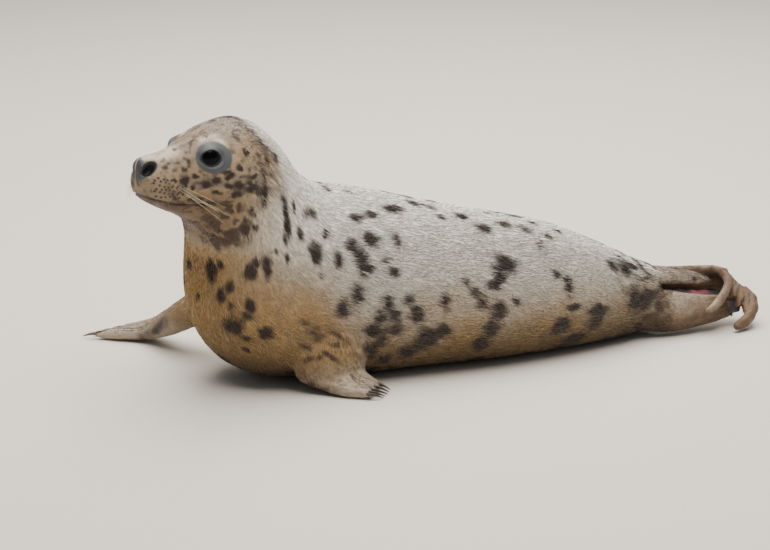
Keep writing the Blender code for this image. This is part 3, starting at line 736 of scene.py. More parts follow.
class SEAL_OT_skin(bpy.types.Operator):
    """One skin over all the flesh, sunk by the depth of the coat, with its lids, nostrils and mouth"""

    bl_idname = "seal.skin"
    bl_label = "Skin"

    def execute(self, context):
        sizes = context.scene.seal_sizes
        mesh, node = smooth_flesh(sizes)
        points, normal, pairs = positions(mesh), normals(mesh), edge_pairs(mesh)
        lie, lay, masks = comb(points, pairs, node)
        depth = sizes.coat_depth * (1 - 0.55 * masks["head"]) * (1 - 0.70 * masks["flipper"])
        points = shape_eyes(points - depth[:, None] * normal, pairs)
        lips = bell(mouth_edge(points), 0, 0.0011) * ease(0.001, 0.012, head_place(points)[:, 0])
        points -= (0.0022 * lips + folds(points))[:, None] * normal
        points += 0.0007 * bell(nostril_edge(points), 0.0012, 0.0012)[:, None] * normal
        points[:, 2] = np.maximum(points[:, 2], 0.0003)
        move_to(mesh, points)
        normal = normals(mesh)
        lie = unit(lie - (lie * normal).sum(1, keepdims=True) * normal)
        for name, values in {"lie": lie, "lay": lay, **masks}.items():
            write(mesh, name, values)
        plant_blotches(mesh)
        tint, detail = tints(points, normal, **masks, own_shade=1.0)
        write(mesh, "tint", tint)
        write(mesh, "detail", detail)
        mesh.uv_layers.new(name="OFBake")
        skin = new_object("skin", mesh, bpy.data.materials["seal_fur"])
        unwrap(skin)
        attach(skin, "root")
        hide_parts(*FLESH)
        return {"FINISHED"}


def unwrap(obj):
    """Lays the skin's own shape out flat for baking."""
    bpy.context.view_layer.objects.active = obj
    obj.select_set(True)
    bpy.ops.object.mode_set(mode="EDIT")
    bpy.ops.mesh.select_all(action="SELECT")
    bpy.ops.uv.smart_project(angle_limit=math.radians(66), island_margin=0.002)
    bpy.ops.object.mode_set(mode="OBJECT")
    obj.select_set(False)


# The main blotches of the left side, seen square on, in millimetres: (along, up, half length, half height)
THROAT_MARKS = (
    (-390, 260, 7, 5), (-380, 255, 8, 6), (-365, 250, 10, 10), (-345, 260, 8, 8), (-380, 235, 12, 9),
    (-330, 260, 4, 5), (-375, 280, 5, 5),
)
CHEST_MARKS = (
    (-382, 190, 9, 13), (-373, 202, 6, 6), (-340, 195, 11, 11), (-330, 210, 6, 7), (-315, 205, 6, 15),
    (-285, 215, 3, 7), (-365, 170, 6, 8), (-375, 155, 7, 10), (-365, 140, 5, 6), (-340, 145, 7, 9),
    (-360, 110, 16, 12), (-345, 128, 10, 7), (-315, 100, 10, 9), (-340, 90, 9, 5), (-340, 70, 5, 5),
    (-280, 275, 5, 32), (-260, 245, 5, 10), (-285, 245, 3, 10), (-300, 225, 5, 5), (-265, 285, 3, 11),
)
SHOULDER_MARKS = (
    (-235, 270, 14, 7), (-215, 240, 4, 8), (-235, 215, 10, 14), (-200, 200, 6, 10), (-230, 180, 4, 5),
    (-155, 250, 11, 5), (-125, 250, 9, 6), (-85, 250, 15, 7), (-70, 260, 9, 4), (-140, 220, 11, 11),
    (-95, 215, 6, 14), (-172, 216, 10, 11), (-162, 200, 12, 14), (-155, 182, 11, 9), (-120, 190, 7, 7),
    (-110, 172, 9, 6), (-175, 150, 10, 14), (-200, 130, 9, 11), (-125, 132, 7, 13), (-90, 130, 9, 8),
    (-80, 107, 10, 11), (-30, 120, 7, 12), (-140, 110, 9, 10), (-150, 90, 12, 11), (-135, 70, 9, 11),
    (-114, 90, 10, 11), (-116, 112, 9, 6), (-60, 66, 14, 16), (-38, 76, 11, 10), (-90, 46, 11, 14),
    (-153, 52, 15, 15), (-124, 36, 10, 10),
)
HIND_MARKS = (
    (35, 223, 8, 5), (62, 206, 10, 7), (105, 204, 11, 4), (152, 175, 5, 13), (80, 160, 15, 10),
    (65, 144, 8, 8), (50, 135, 8, 6), (20, 130, 6, 5), (8, 146, 5, 5), (30, 114, 7, 7),
    (90, 106, 5, 5), (60, 97, 10, 10), (46, 74, 9, 11), (32, 44, 8, 13), (165, 137, 5, 7),
    (186, 115, 5, 13), (190, 84, 9, 4), (280, 126, 8, 8), (305, 116, 9, 8), (240, 69, 15, 6),
    (236, 52, 11, 9), (170, 56, 11, 10), (202, 25, 15, 8), (315, 74, 11, 13),
)
FACE_MARKS = (
    (-338, 371, 4, 5), (-285, 355, 4, 12), (-309, 382, 5, 5), (-450, 342, 4, 3), (-435, 340, 6, 9),
    (-424, 328, 5, 5), (-417, 344, 6, 3), (-403, 332, 7, 6), (-386, 335, 8, 7), (-367, 342, 7, 5),
    (-368, 328, 9, 5), (-351, 352, 4, 6), (-353, 327, 11, 6), (-357, 315, 10, 6), (-386, 318, 8, 3),
    (-332, 338, 8, 5), (-334, 319, 9, 6), (-312, 318, 5, 15), (-313, 338, 5, 8), (-304, 356, 4, 9),
    (-316, 365, 4, 4), (-371, 349, 8, 4), (-392, 303, 12, 4), (-372, 304, 11, 3), (-419, 309, 13, 4),
    (-445, 305, 12, 5), (-431, 299, 9, 5), (-405, 300, 8, 5), (-367, 293, 6, 8), (-379, 288, 8, 5),
    (-353, 292, 4, 8), (-336, 289, 4, 8), (-316, 294, 4, 7),
)
# Each group, with the share of their listed size that its marks are drawn at
MARK_GROUPS = (
    (THROAT_MARKS, 1.0), (CHEST_MARKS, 1.0), (SHOULDER_MARKS, 1.05), (HIND_MARKS, 1.3), (FACE_MARKS, 0.85),
)
SOWN_BLOTCHES, SOWN_TRIES = 331, 60000  # strewn over the sides with no marks of their own
BLOTCHES = []  # once planted: a place on the skin, half length and half height of each, in metres


def plant_blotches(mesh):
    """Sets the left side's blotches on the skin, and strews like ones over the sides that it leaves bare."""
    rng = np.random.default_rng(11)
    points, tree = positions(mesh), ray_tree(mesh)
    flipper, head = read(mesh, "flipper"), read(mesh, "head")
    BLOTCHES.clear()
    for marks, size in MARK_GROUPS:
        for x, z, length, height in marks:
            hit = tree.ray_cast(Vector((x * MM, -1, z * MM)), Vector((0, 1, 0)))[0]
            if hit:
                BLOTCHES.append((*hit, size * length * MM, size * height * MM))
    full = len(BLOTCHES) + SOWN_BLOTCHES
    for k in rng.permutation(len(points))[:SOWN_TRIES]:
        place = points[k]
        marked = place[1] < -0.055 - 0.10 * max(0, -0.25 - place[0]) and place[0] < 0.33 and place[2] > 0.02
        if flipper[k] > 0.3 or marked or head[k] > 0.9:
            continue
        gap = 0.024 + 0.030 * (0.5 + 0.5 * math.sin(place[0] * 37 + place[1] * 29))
        if (((np.array(BLOTCHES)[:, :3] - place) ** 2).sum(1) < gap**2).any():
            continue
        size = rng.uniform(0.0035, 0.0115)
        BLOTCHES.append((*place, size * rng.uniform(0.8, 1.6), size))
        if len(BLOTCHES) == full:
            break


def blotch_field(points):
    """How dark the blotches make each point, from 0 to a little over 1."""
    rows = np.array(BLOTCHES)
    size = np.stack([rows[:, 3], (rows[:, 3] + rows[:, 4]) / 2, rows[:, 4]], 1)
    warped = points + 0.0030 * np.stack([noise(points, 0.010, seed) for seed in (1, 2, 3)], 1)
    warped += 0.0016 * np.stack([noise(points, 0.0040, seed) for seed in (4, 5, 6)], 1)
    field = np.empty(len(points))
    for start in range(0, len(points), CHUNK):
        arm = (warped[start : start + CHUNK, None] - rows[None, :, :3]) / size[None]
        field[start : start + CHUNK] = np.sqrt((arm**2).sum(2)).min(1)
    ragged = 0.34 * noise(points, 0.0070, 7) + 0.20 * noise(points, 0.0034, 8)
    return fade(0.50, 2.05, field + ragged) * (1.0 + 0.25 * noise(points, 0.009, 9))


def near(points, centre, reach):
    """1 at a place, falling away over its reach along each axis."""
    return np.exp(-(((points - np.array(centre)) / np.array(reach)) ** 2).sum(1))


def along_line(place, line, half):
    """1 on a line through points given in millimetres, fading out over half."""
    samples = through(np.array(line) * MM, 48)
    result = np.zeros(len(place))
    close = np.linalg.norm(place - samples.mean(0), axis=1) < 0.15
    away = ((place[close, None] - samples[None]) ** 2).sum(2).min(1)
    result[close] = np.exp(-away / (half * MM) ** 2)
    return result


# Lines of colour on the body, in millimetres
ARM_STREAKS = (
    ((-264, -165, 117), (-236, -163, 102)),
    ((-255, -161, 100), (-222, -165, 88)),
    ((-242, -160, 87), (-210, -170, 76)),
    ((-260, -158, 55), (-236, -170, 62)),
    ((-233, -170, 69), (-207, -177, 50)),
    ((-220, -162, 97), (-190, -165, 79)),
    ((-266, -157, 80), (-251, -159, 71)),
)
HAND_PATCH = ((-248, -157, 15), (-237, -167, 12), (-227, -176, 10))
FAR_HAND_PATCH = ((-386, 138, 52), (-392, 150, 40), (-398, 165, 26), (-407, 190, 12))
# and on the head, in millimetres in its own frame
CHEEK_BAND = ((60, 40, -24), (91, 52, -32), (122, 67, -32), (154, 79, -38), (176, 84, -46))
GOLD_BAND = ((72, 46, -47), (106, 59, -49), (131, 72, -57), (160, 84, -66))
# A dark line painted as the shade in the crown's wrinkle
CROWN_WRINKLE_SHADE = ((148, 37, 37), (158, 38, 36), (166, 41, 33))
EYE_STREAK = ((80, 28, 12), (84, 23, 18), (92, 15, 25), (102, 13, 31), (116, 8, 37), (128, 9, 41))
BROW = ((104, 25, 30), (119, 31, 33), (125, 42, 26), (126, 50, 18))
NECK_BACK_BANDS = (
    ((172, 60, 22), (184, 70, -4), (192, 78, -30)),
    ((176, 42, 30), (192, 54, 14), (204, 64, -6), (206, 72, -32)),
)
GOLD_PATCH, GOLD_REACH = (0.155, 0.063, 0.008), (0.022, 0.030, 0.013)  # round the ear
# The ear's opening is darkened as painted shade
EAR, EAR_REACH = (0.1594, 0.0637, 0.007), (0.0035, 0.02, 0.0032)  # the ear's dark slit


def head_marks(points, place, head, fine):
    """The face's mottles, with painted shade under the upper lip and in the crown's wrinkle, how grey-brown,
    how pale and how warm its ground is.
    """
    behind, aside, above = place.T
    small = noise(points, 0.0050, 33)
    crown = head * ease(0.004, 0.030, above) * ease(0.085, 0.12, behind)
    cheek = along_line(place, CHEEK_BAND, 15)
    temple = most(*(along_line(place, band, 12) for band in NECK_BACK_BANDS))
    streak = along_line(place, EYE_STREAK, 2.6)
    band = along_line(place, GOLD_BAND, 9)
    gold = np.maximum(band, near(place, GOLD_PATCH, GOLD_REACH))
    chin = head * fade(-0.066, -0.054, above) * ease(-0.02, 0.01, behind)
    density = most(0.74 * cheek, 0.66 * temple, 0.38 * crown, 0.42 * head)
    mottle = np.clip(density + 0.62 * fine + 0.62 * small - 0.26, 0, 0.88) * ease(0.1, 0.3, density)
    spots = ease(-0.05, 0.30, noise(points, 0.013, 38) + 0.35 * small)
    # the front of the lower lip, darkened partly as painted shade under the upper lip
    under = fade(-0.003, 0.002, mouth_edge(points)) * fade(0.045, 0.075, behind)
    mottle = most(
        mottle * (1 - 0.6 * gold),
        chin * (0.42 + 0.60 * spots) * fade(0.12, 0.17, behind),
        0.40 * band,
        under * (1.05 + 0.3 * small),
        # painted shade in the crown's wrinkle
        0.8 * along_line(place, CROWN_WRINKLE_SHADE, 1.4),
        0.80 * streak * (0.9 + 0.4 * small),
    )
    muzzle = fade(0.045, 0.085, behind) * fade(-0.020, -0.004, above)
    front = ease(0.045, 0.075, behind) * ease(-0.014, 0.006, above) * head
    smoke = most(
        0.74 * front,
        crown * (0.68 + 0.25 * fine),
        0.85 * cheek + 0.15 * small,
        0.60 * muzzle,
        0.55 * head * (1 - chin),
    )
    smoke = smoke * (1 - 0.75 * np.maximum(gold, 0.6 * chin))
    bridge = head * fade(0.012, 0.026, aside) * ease(-0.012, 0.004, above) * fade(0.055, 0.085, behind)
    pale = np.maximum(0.38 * along_line(place, BROW, 6), 0.26 * bridge)
    tan = head * (0.86 - 0.35 * ease(0.022, 0.040, above) * ease(0.10, 0.14, behind))
    return mottle, np.clip(smoke - pale, 0, 1), pale, most(tan, gold, 0.95 * chin)


def limb_marks(points, normal, hind, fine):
    """Streaks on the arms, patches on the wrists, painted shade in the grooves between the digits, and
    painted shade on the hind flippers' lower sides.
    """
    streaks = most(*(along_line(on_left(points), line, 6) for line in ARM_STREAKS))
    patch = 0.95 * along_line(points, HAND_PATCH, 9) + 0.85 * along_line(points, FAR_HAND_PATCH, 12)
    gaps = most(*(along_line(points * FLAT, row[2:], 1.6) for row in digit_grooves()))
    return most(
        streaks * (0.66 + 0.5 * noise(points, 0.008, 31)),
        patch * (0.8 + 0.6 * fine),
        # painted shade in the grooves between the fore flippers' digits
        0.8 * gaps * (points[:, 2] < HAND_TOP) * (1 + 0.6 * fine),
        # painted shade on the hind flippers' downward-facing sides
        hind * ease(0.1, 0.7, -normal[:, 2]) * 0.75,
        hind * 0.7 * ease(0.15, 0.7, noise(points, 0.013, 37) + 0.3 * fine),
    )


def eye_marks(points):
    """The bare ring round each eye, the dark margin of its lids, and a painted gleam and painted crease
    shade below.
    """
    bare, lid, wet = np.zeros((3, len(points)))
    for side, centre in EYE_CENTRE.items():
        opening, ring = eye_edge(points, side)
        close = np.linalg.norm(points - centre, axis=1) < 0.032
        bare = np.maximum(bare, fade(-0.0012, 0.0014, ring) * (ring < 0.5))
        lid = np.maximum(lid, fade(0.0004, 0.0014, opening) * close)
        below = ease(0.003, 0.009, centre[2] - points[:, 2]) * close
        # a painted highlight below the lower lid, and painted shade in a crease below that
        wet += below * (0.6 * bell(opening, 0.0028, 0.0010) - 0.3 * bell(opening, 0.0054, 0.0012))
    return bare, lid, wet


def nose_marks(points, place):
    """The bare skin round the nostrils, the bare pad between them, and painted shade inside them."""
    behind, aside, above = place.T
    hollow = nostril_edge(points)
    rims = fade(0.0012, 0.0035, hollow) * (behind < 0.05)
    pad = fade(0.010, 0.015, aside) * fade(0.007, 0.013, behind) * ease(-0.026, -0.018, above)
    pad *= ease(0.0003, 0.0018, aside)
    return np.maximum(rims, pad), fade(-0.0022, -0.0002, hollow) * (behind < 0.05)


def tints(points, normal, turn, flipper, hind, head, tail, own_shade):
    """The tint (mark, buff, cream, smoke) and the detail (bare skin, brightness, brown) of each point; the
    marks, brightness and brown carry painted shade, the brightness a painted gleam, and the cream painted
    light.
    """
    wide, fine = noise(points, 0.060, 20), noise(points, 0.012, 21)
    place, left, height = face_place(points), on_left(points), points[:, 2]
    behind, _, above = place.T
    body = 1 - flipper
    reach = 0.145 + 0.050 * ease(-0.090, -0.050, above) - 0.020 * ease(-0.010, 0.030, above)
    face = fade(0.0, 0.035, behind - reach) * ease(-0.150, -0.120, above)
    chin = face * fade(-0.062, -0.045, above)
    mottle, smoke, pale, warm = head_marks(points, place, face, fine)
    # Buff: the underside, the chest, the warm parts of the face, and thinly the flippers
    forward = fade(-0.30, -0.12, points[:, 0])
    buff = ease(1.05 - 0.50 * forward, 2.15 - 0.50 * forward, turn + 0.20 * wide + 0.12 * fine)
    buff = np.maximum(buff, 0.9 * fade(0.02, 0.15, height + 0.015 * wide))
    buff = most(buff * (1 - 0.4 * face), warm, 0.9 * chin, flipper * (0.55 + 0.25 * fine))
    # Cream: the nape, the back, the shoulders, the brows and bridge, the hands and the hind flippers' roots;
    # along the top of the back it is pale fur with painted light from above
    cream = 1.1 * near(points, (-0.248, -0.060, 0.305), (0.055, 0.11, 0.050))
    # pale fur along the top of the back, partly painted light on the top
    cream = np.maximum(cream, 0.85 * fade(0.2, 1.1, turn + 0.1 * fine) * body) * (1 - face)
    shoulder = near(left, (-0.27, -0.14, 0.25), (0.065, 0.08, 0.07))
    hand = flipper * (1 - hind) * fade(0.010, 0.065, height)
    root = hind * fade(0.43, 0.49, points[:, 0]) * ease(-0.4, 0.2, normal[:, 2]) * (points[:, 1] < 0.0)
    cream = most(cream, 0.62 * shoulder, pale, 0.24 * hand * (1 + 0.5 * fine), 0.22 * root) * (1 - tail)
    # Smoke: the face, clouds over the buff, the rump, the tail and the flippers
    rump = ease(0.25, 0.32, points[:, 0]) * body
    clouds = body * (1 - head) * 0.30 * ease(-0.2, 0.7, noise(points, 0.020, 34)) * buff
    smoke = most(smoke, clouds, 0.35 * rump, (0.65 + 0.3 * fine) * tail, 0.50 * flipper)
    # Marks: everything dark, with painted shade in the ear, along the mouth, in the crown's wrinkle, in the
    # hands' grooves and under the hind flippers
    rear = rump * 0.85 * ease(-0.05, 0.5, noise(points, 0.016, 35) + 0.4 * fine) * (1 - tail) + 0.12 * tail
    # a dark band along the mouth: dark lip skin, and painted shade of the mouth's line
    lip = (behind < 0.112) * bell(mouth_edge(points), 0.001, 0.0040) * (0.60 + 0.3 * fine)
    # painted shade in the ear's opening
    ear = near(place, EAR, EAR_REACH)
    limbs = limb_marks(points, normal, hind, fine)
    mark = most(blotch_field(points) * body, mottle, rear, lip, whisker_dots(place), limbs, 1.2 * ear)
    # Brightness: painted shade under the chin and chest, towards the floor, in the mouth's line, the
    # nostrils and the ear, the dark margins of the lids, and a painted gleam and crease shade below the eyes
    ring, lid, wet = eye_marks(points)
    nose, hollow = nose_marks(points, place)
    # painted shade along the mouth's line
    lips = bell(mouth_edge(points), 0, 0.0010)
    # painted shade under the chin and at the bottom of the chest
    painted_chin_shade = near(points, (-0.415, -0.09, 0.265), (0.04, 0.06, 0.035))
    painted_chest_shade = near(left, (-0.33, -0.12, 0.02), (0.08, 0.10, 0.05))
    shade = own_shade * (1 + 0.06 * wide) * (1 - 0.30 * painted_chin_shade) * (1 - 0.25 * painted_chest_shade)
    # painted shade towards the floor
    shade *= 1 - 0.50 * fade(0.0, 0.11, height) * body
    # painted shade in the nostrils, along the mouth's line and in the ear's opening, and the dark margins of
    # the lids
    shade *= (1 - 0.96 * hollow) * (1 - 0.78 * lips) * (1 - 0.5 * np.clip(ear, 0, 1)) * (1 - 0.90 * lid)
    # with the painted gleam and crease shade below the eyes
    shade *= (1 - 0.35 * nose) * (1 + wet)
    # Brown: the hind flippers, a browner chin, and painted shade towards the floor
    brown = hind * np.clip(0.88 + 0.35 * noise(points, 0.018, 36) + 0.25 * fine - 0.40 * root, 0, 1)
    brown = most(brown, 0.55 * chin * fade(0.10, 0.16, behind), 0.45 * fade(0.0, 0.09, height) * body)
    tint = np.stack([mark, buff, cream, smoke], 1)
    detail = np.stack([np.maximum(ring, nose), shade, brown, np.ones(len(points))], 1)
    return np.clip(tint, 0, 1.3), np.clip(detail, 0, 1.5)


WHISKER_ROWS, WHISKERS_IN_ROW = 6, 7
LONG_WHISKERS = ((1, 6), (2, 5), (3, 6), (4, 6), (1, 5))


def whisker_roots():
    """Where the whiskers grow: behind and above the nose, with each one's row and place in the row."""
    roots = []
    for row in range(WHISKER_ROWS):
        for k in range(WHISKERS_IN_ROW - (row in (0, WHISKER_ROWS - 1))):
            behind = 0.014 + 0.0068 * k + 0.0022 * (row % 2)
            behind += 0.0011 * math.sin(12.9 * row + 7.3 * k)
            above = -0.007 - 0.40 * behind - (0.0058 - 0.0003 * k) * row
            above += 0.0010 * math.sin(5.1 * k + 3.7 * row)
            roots.append((behind, above, row, k))
    return roots


def whisker_dots(place):
    """The dark follicles of the whisker pads."""
    dots = np.zeros(len(place))
    muzzle = place[:, 0] < 0.075
    part = place[muzzle]
    for behind, above, _, _ in whisker_roots():
        away = np.hypot(part[:, 0] - behind, part[:, 2] - above)
        dots[muzzle] = np.maximum(dots[muzzle], fade(0.0008, 0.0026, away))
    return dots


# A tuft is a thin three-sided blade: a ring of points at its root, another at its bend, and its tip
TUFT_FACES = np.array((
    (0, 2, 1), (0, 1, 4), (0, 4, 3), (1, 2, 5), (1, 5, 4), (2, 0, 3), (2, 3, 5),
    (3, 4, 6), (4, 5, 6), (5, 3, 6),
))
TUFT_POINTS = 7
TUFT_ALONG = np.array((0, 0, 0, 0.5, 0.5, 0.5, 1.0))  # share of its length at each point
TUFT_TURN = np.array((0, 0, 0, 0.6, 0.6, 0.6, 1.0))  # how far its colour has turned to the tip's
# Painted shade at each tuft's root, between the tufts, and painted light at its tip
TUFT_LIGHT = np.array((0.80, 0.80, 0.85, 1.0, 1.0, 1.03, 1.10))  # darker between the tufts
TUFT_OUTLINE = np.array(((0, 0), (1, 0), (0.5, 0.3), (0, 0.6), (1, 0.6), (0.5, 0.7), (0.5, 1)))
BAKE_PATCH = 0.003  # how wide each tuft's place on the bake map is


def tuft_lengths(mesh, longest):
    """How long tufts are at each point of the skin: shortest on the face and the flippers."""
    points, flipper, head = positions(mesh), read(mesh, "flipper"), read(mesh, "head")
    behind = head_place(points)[:, 0]
    muzzle = head * fade(0.055, 0.12, behind)
    limb = np.maximum(flipper, ease(-0.155, -0.175, points[:, 1]) * (points[:, 2] < 0.10))
    length = longest * (1 - 0.60 * head) * (1 - 0.45 * muzzle) * (1 - 0.58 * limb)
    length *= (1 - 0.35 * read(mesh, "hind")) * (1 - 0.40 * read(mesh, "tail"))
    length *= 0.72 + 0.28 * ease(0.18, 0.32, behind)
    for side in EYE_CENTRE:
        length *= 1 - 0.45 * fade(0.001, 0.012, eye_edge(points, side)[1])
    return length


def sow_tufts(mesh, length, count, rng):
    """A triangle of the skin for each tuft, and the shares of its corners: closer where tufts are short."""
    faces = triangles(mesh)
    wanted = 1 / length**1.15 * fade(0.15, 0.6, read(mesh, "detail")[:, 0]) * (1 - 0.35 * read(mesh, "hind"))
    a, b, c = positions(mesh)[faces].transpose(1, 0, 2)
    odds = np.linalg.norm(np.cross(b - a, c - a), axis=1) / 2 * wanted[faces].mean(1)
    chosen = np.searchsorted(np.cumsum(odds) / odds.sum(), np.sort(rng.random(count)))
    u, v = rng.random(count), rng.random(count)
    over = u + v > 1
    u[over], v[over] = 1 - u[over], 1 - v[over]
    return chosen, np.stack([1 - u - v, u, v], 1)


def combed(root, up, lie, rng):
    """The ways ahead and aside of each tuft: broad waves in the coat, and a few degrees of its own."""
    swing = 0.16 * noise(root, 0.035, 40) + 0.12 * noise(root, 0.012, 41)
    swing += 0.10 * rng.standard_normal(len(root))
    ahead = unit(lie - (lie * up).sum(1, keepdims=True) * up)
    ahead = ahead * np.cos(swing)[:, None] + np.cross(up, ahead) * np.sin(swing)[:, None]
    return ahead, np.cross(up, ahead)


def tuft_shapes(root, up, lie, length, head, rng):
    """Each tuft's points, its tip as it grew and its length."""
    ahead, aside = combed(root, up, lie, rng)
    long = length * rng.uniform(0.75, 1.25, len(root))
    wide = long * rng.uniform(0.085, 0.135, len(root))
    rise = long * (0.075 + 0.045 * rng.random(len(root))) * (1 - 0.2 * head)
    rise += 0.0006 * np.clip(noise(root, 0.010, 42), 0, 1)
    bend = 0.05 * rng.standard_normal(len(root))
    base = root - 0.0002 * up
    middle = base + 0.5 * long[:, None] * ahead + 0.72 * rise[:, None] * up
    tip = base + long[:, None] * (ahead + bend[:, None] * aside) + rise[:, None] * up
    rows = []
    for centre, share in ((base, 0.75), (middle, 1.0)):
        half = (share * wide / 2)[:, None] * aside
        rows += [centre - half, centre + half, centre + 0.45 * share * wide[:, None] * up]
    points = np.stack([*rows, tip], 1)
    points[..., 2] = np.maximum(points[..., 2], 0.0002)
    return points, tip, long


def off_bare_skin(tip, bare):
    """Which tufts neither grow on bare skin nor reach over the rings round the eyes or the nostrils."""
    kept = (bare < 0.4) & ((nostril_edge(tip) > 0.003) | (head_place(tip)[:, 0] > 0.05))
    for side in EYE_CENTRE:
        kept &= eye_edge(tip, side)[1] > 0.0002
    return kept


class SEAL_OT_coat(bpy.types.Operator):
    """Short fur in tufts that lie back along the body, smallest on the face and flippers"""

    bl_idname = "seal.coat"
    bl_label = "Coat"

    def execute(self, context):
        sizes = context.scene.seal_sizes
        rng = np.random.default_rng(5)
        mesh = bpy.data.objects["skin"].data
        count = sizes.tufts
        length = tuft_lengths(mesh, sizes.tuft_length)
        chosen, weight = sow_tufts(mesh, length, count, rng)
        faces, corners = triangles(mesh)[chosen], triangles(mesh, "loops")[chosen]

        def at(values, rows=faces):
            return (values[rows] * (weight if values.ndim == 1 else weight[..., None])).sum(1)

        root, up, head = at(positions(mesh)), unit(at(normals(mesh))), at(read(mesh, "head"))
        body, tip, long = tuft_shapes(root, up, at(read(mesh, "lie")), at(length), head, rng)
        masks = {name: at(read(mesh, name)) for name in ("turn", "flipper", "hind", "head", "tail")}
        masks["own_shade"] = rng.uniform(0.86, 1.13, count)
        ends = [tints(place, up, **masks) for place in (root, root + (tip - root) * 0.85)]
        turn = TUFT_TURN[None, :, None]
        tint, detail = (first[:, None] * (1 - turn) + last[:, None] * turn for first, last in zip(*ends))
        # painted shade at the roots and painted light at the tips
        detail[..., 1] *= TUFT_LIGHT
        lay = np.repeat(at(read(mesh, "lay"))[:, None], TUFT_POINTS, 1)
        lay[..., 0] += TUFT_ALONG * long[:, None]
        centre = at(fetched(mesh.uv_layers["OFBake"].data, "uv", 2), corners)[:, None]
        patch = centre + (TUFT_OUTLINE * BAKE_PATCH - BAKE_PATCH / 2)
        kept = off_bare_skin(tip, at(read(mesh, "detail")[:, 0]))
        layer = rng.permutation(count) % sizes.layers
        for number in range(sizes.layers):
            own = (layer == number) & kept
            faces_here = (TUFT_FACES + TUFT_POINTS * np.arange(own.sum())[:, None, None]).reshape(-1, 3)
            piece = mesh_from(f"coat_{number + 1}", body[own].reshape(-1, 3), faces_here)
            for name, values in (("lay", lay), ("tint", tint), ("detail", detail)):
                write(piece, name, values[own].reshape(-1, values.shape[-1]))
            uv = np.clip(patch[own].reshape(-1, 2)[faces_here.ravel()], 0, 1).astype(np.float32)
            piece.uv_layers.new(name="OFBake").data.foreach_set("uv", uv.ravel())
            obj = new_object(f"coat_{number + 1}", piece, bpy.data.materials["seal_fur"])
            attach(obj, "root")
        return {"FINISHED"}


class SEAL_OT_eyes(bpy.types.Operator):
    """Wet dark eyeballs with a clear bulge in front"""

    bl_idname = "seal.eyes"
    bl_label = "Eyes"

    def execute(self, context):
        material = eye_material(context.scene.seal_colours)
        for side, centre in EYE_CENTRE.items():
            bm = bmesh.new()
            bmesh.ops.create_uvsphere(bm, u_segments=48, v_segments=32, radius=EYE_RADIUS)
            for vert in bm.verts:
                front = max(0, vert.co.z / EYE_RADIUS)
                vert.co *= 1 + 0.022 * ease(0.80, 0.96, front)
            turn = Matrix(eye_axes(side).tolist()).transposed()
            if turn.determinant() < 0:
                bmesh.ops.reverse_faces(bm, faces=bm.faces)
            mesh = bpy.data.meshes.new(f"eyeball_{side}")
            bm.to_mesh(mesh)
            bm.free()
            obj = new_object(f"eyeball_{side}", mesh, material)
            obj.matrix_world = Matrix.Translation(Vector(centre)) @ turn.to_4x4()
            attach(obj, "root")
            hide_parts(f"eye_{side}")
        return {"FINISHED"}


PALE_LINES = {"fore_flipper_left": 0.6}  # how much the claws' paler lines show
PALE_LINES_ELSEWHERE = 1.8


class SEAL_OT_claws(bpy.types.Operator):
    """Smooth horn claws over the plain ones"""

    bl_idname = "seal.claws"
    bl_label = "Claws"

    def execute(self, context):
        material = claw_material(context.scene.seal_colours)
        for name in CLAWS:
            bm = bmesh.new()
            bm.from_mesh(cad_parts[name].data)
            bmesh.ops.remove_doubles(bm, verts=bm.verts, dist=1e-6)
            mesh = bpy.data.meshes.new(f"{name}_horn")
            bm.to_mesh(mesh)
            bm.free()
            mesh = modified(new_object(f"{name}_plain", mesh), "SUBSURF", levels=2, render_levels=2)
            mesh.name = f"{name}_horn"
            age = PALE_LINES.get(name[: name.index("_claw")], PALE_LINES_ELSEWHERE)
            write(mesh, "age", np.full(len(mesh.vertices), age))
            obj = new_object(f"{name}_horn", mesh, material)
            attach(obj, "root")
            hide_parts(name)
        return {"FINISHED"}


HAIR_STEPS, HAIR_SIDES = 12, 5


def hair(start, out, length, droop, thick):
    """A tapering hair that leaves the skin one way and droops another, as points and triangles."""
    t = np.linspace(0, 1, HAIR_STEPS)
    line = np.array(start) - 0.001 * out + length * (t[:, None] * out + t[:, None] ** 2 * droop)
    tangent = unit(np.gradient(line, axis=0))
    side = unit(np.cross(tangent, UP + 0.01))
    above = np.cross(side, tangent)
    turns = np.arange(HAIR_SIDES) * 2 * math.pi / HAIR_SIDES
    radius = thick * (1 - 0.85 * t**1.5)
    round_way = np.cos(turns)[None, :, None] * side[:, None] + np.sin(turns)[None, :, None] * above[:, None]
    ring = line[:, None] + radius[:, None, None] * round_way
    verts = np.vstack([ring.reshape(-1, 3), line[:1], line[-1:]])
    faces = []
    for row in range(HAIR_STEPS - 1):
        for k in range(HAIR_SIDES):
            a, b = row * HAIR_SIDES + k, row * HAIR_SIDES + (k + 1) % HAIR_SIDES
            faces += [(a, a + HAIR_SIDES, b), (b, a + HAIR_SIDES, b + HAIR_SIDES)]
    root, last = HAIR_STEPS * HAIR_SIDES, (HAIR_STEPS - 1) * HAIR_SIDES
    for k in range(HAIR_SIDES):
        faces.append((root, k, (k + 1) % HAIR_SIDES))
        faces.append((root + 1, last + (k + 1) % HAIR_SIDES, last + k))
    return verts, np.array(faces)


# From a hair's root to its tip, at each of a hair's points
HAIR_TONE = np.concatenate([np.repeat(np.linspace(0, 1, HAIR_STEPS), HAIR_SIDES), [0, 1]]) ** 0.5


def pad_whisker(row, k, sign, longest, rng):
    """A whisker's length and the way it grows, in the head's frame."""
    length = longest * rng.uniform(0.10, 0.18)
    if (row, k) in LONG_WHISKERS:
        length = longest * rng.uniform(0.75, 1.0)
    out = (0.35 + 0.11 * k, sign * (0.85 - 0.06 * k), -0.40 - 0.05 * row + 0.1 * rng.standard_normal())
    if k < 3 and row > 2:
        length = longest * rng.uniform(0.16, 0.34)
        out = (-0.30 + 0.1 * k, sign * 0.62, -0.62)
    return length, unit(out) @ HEAD_AXES


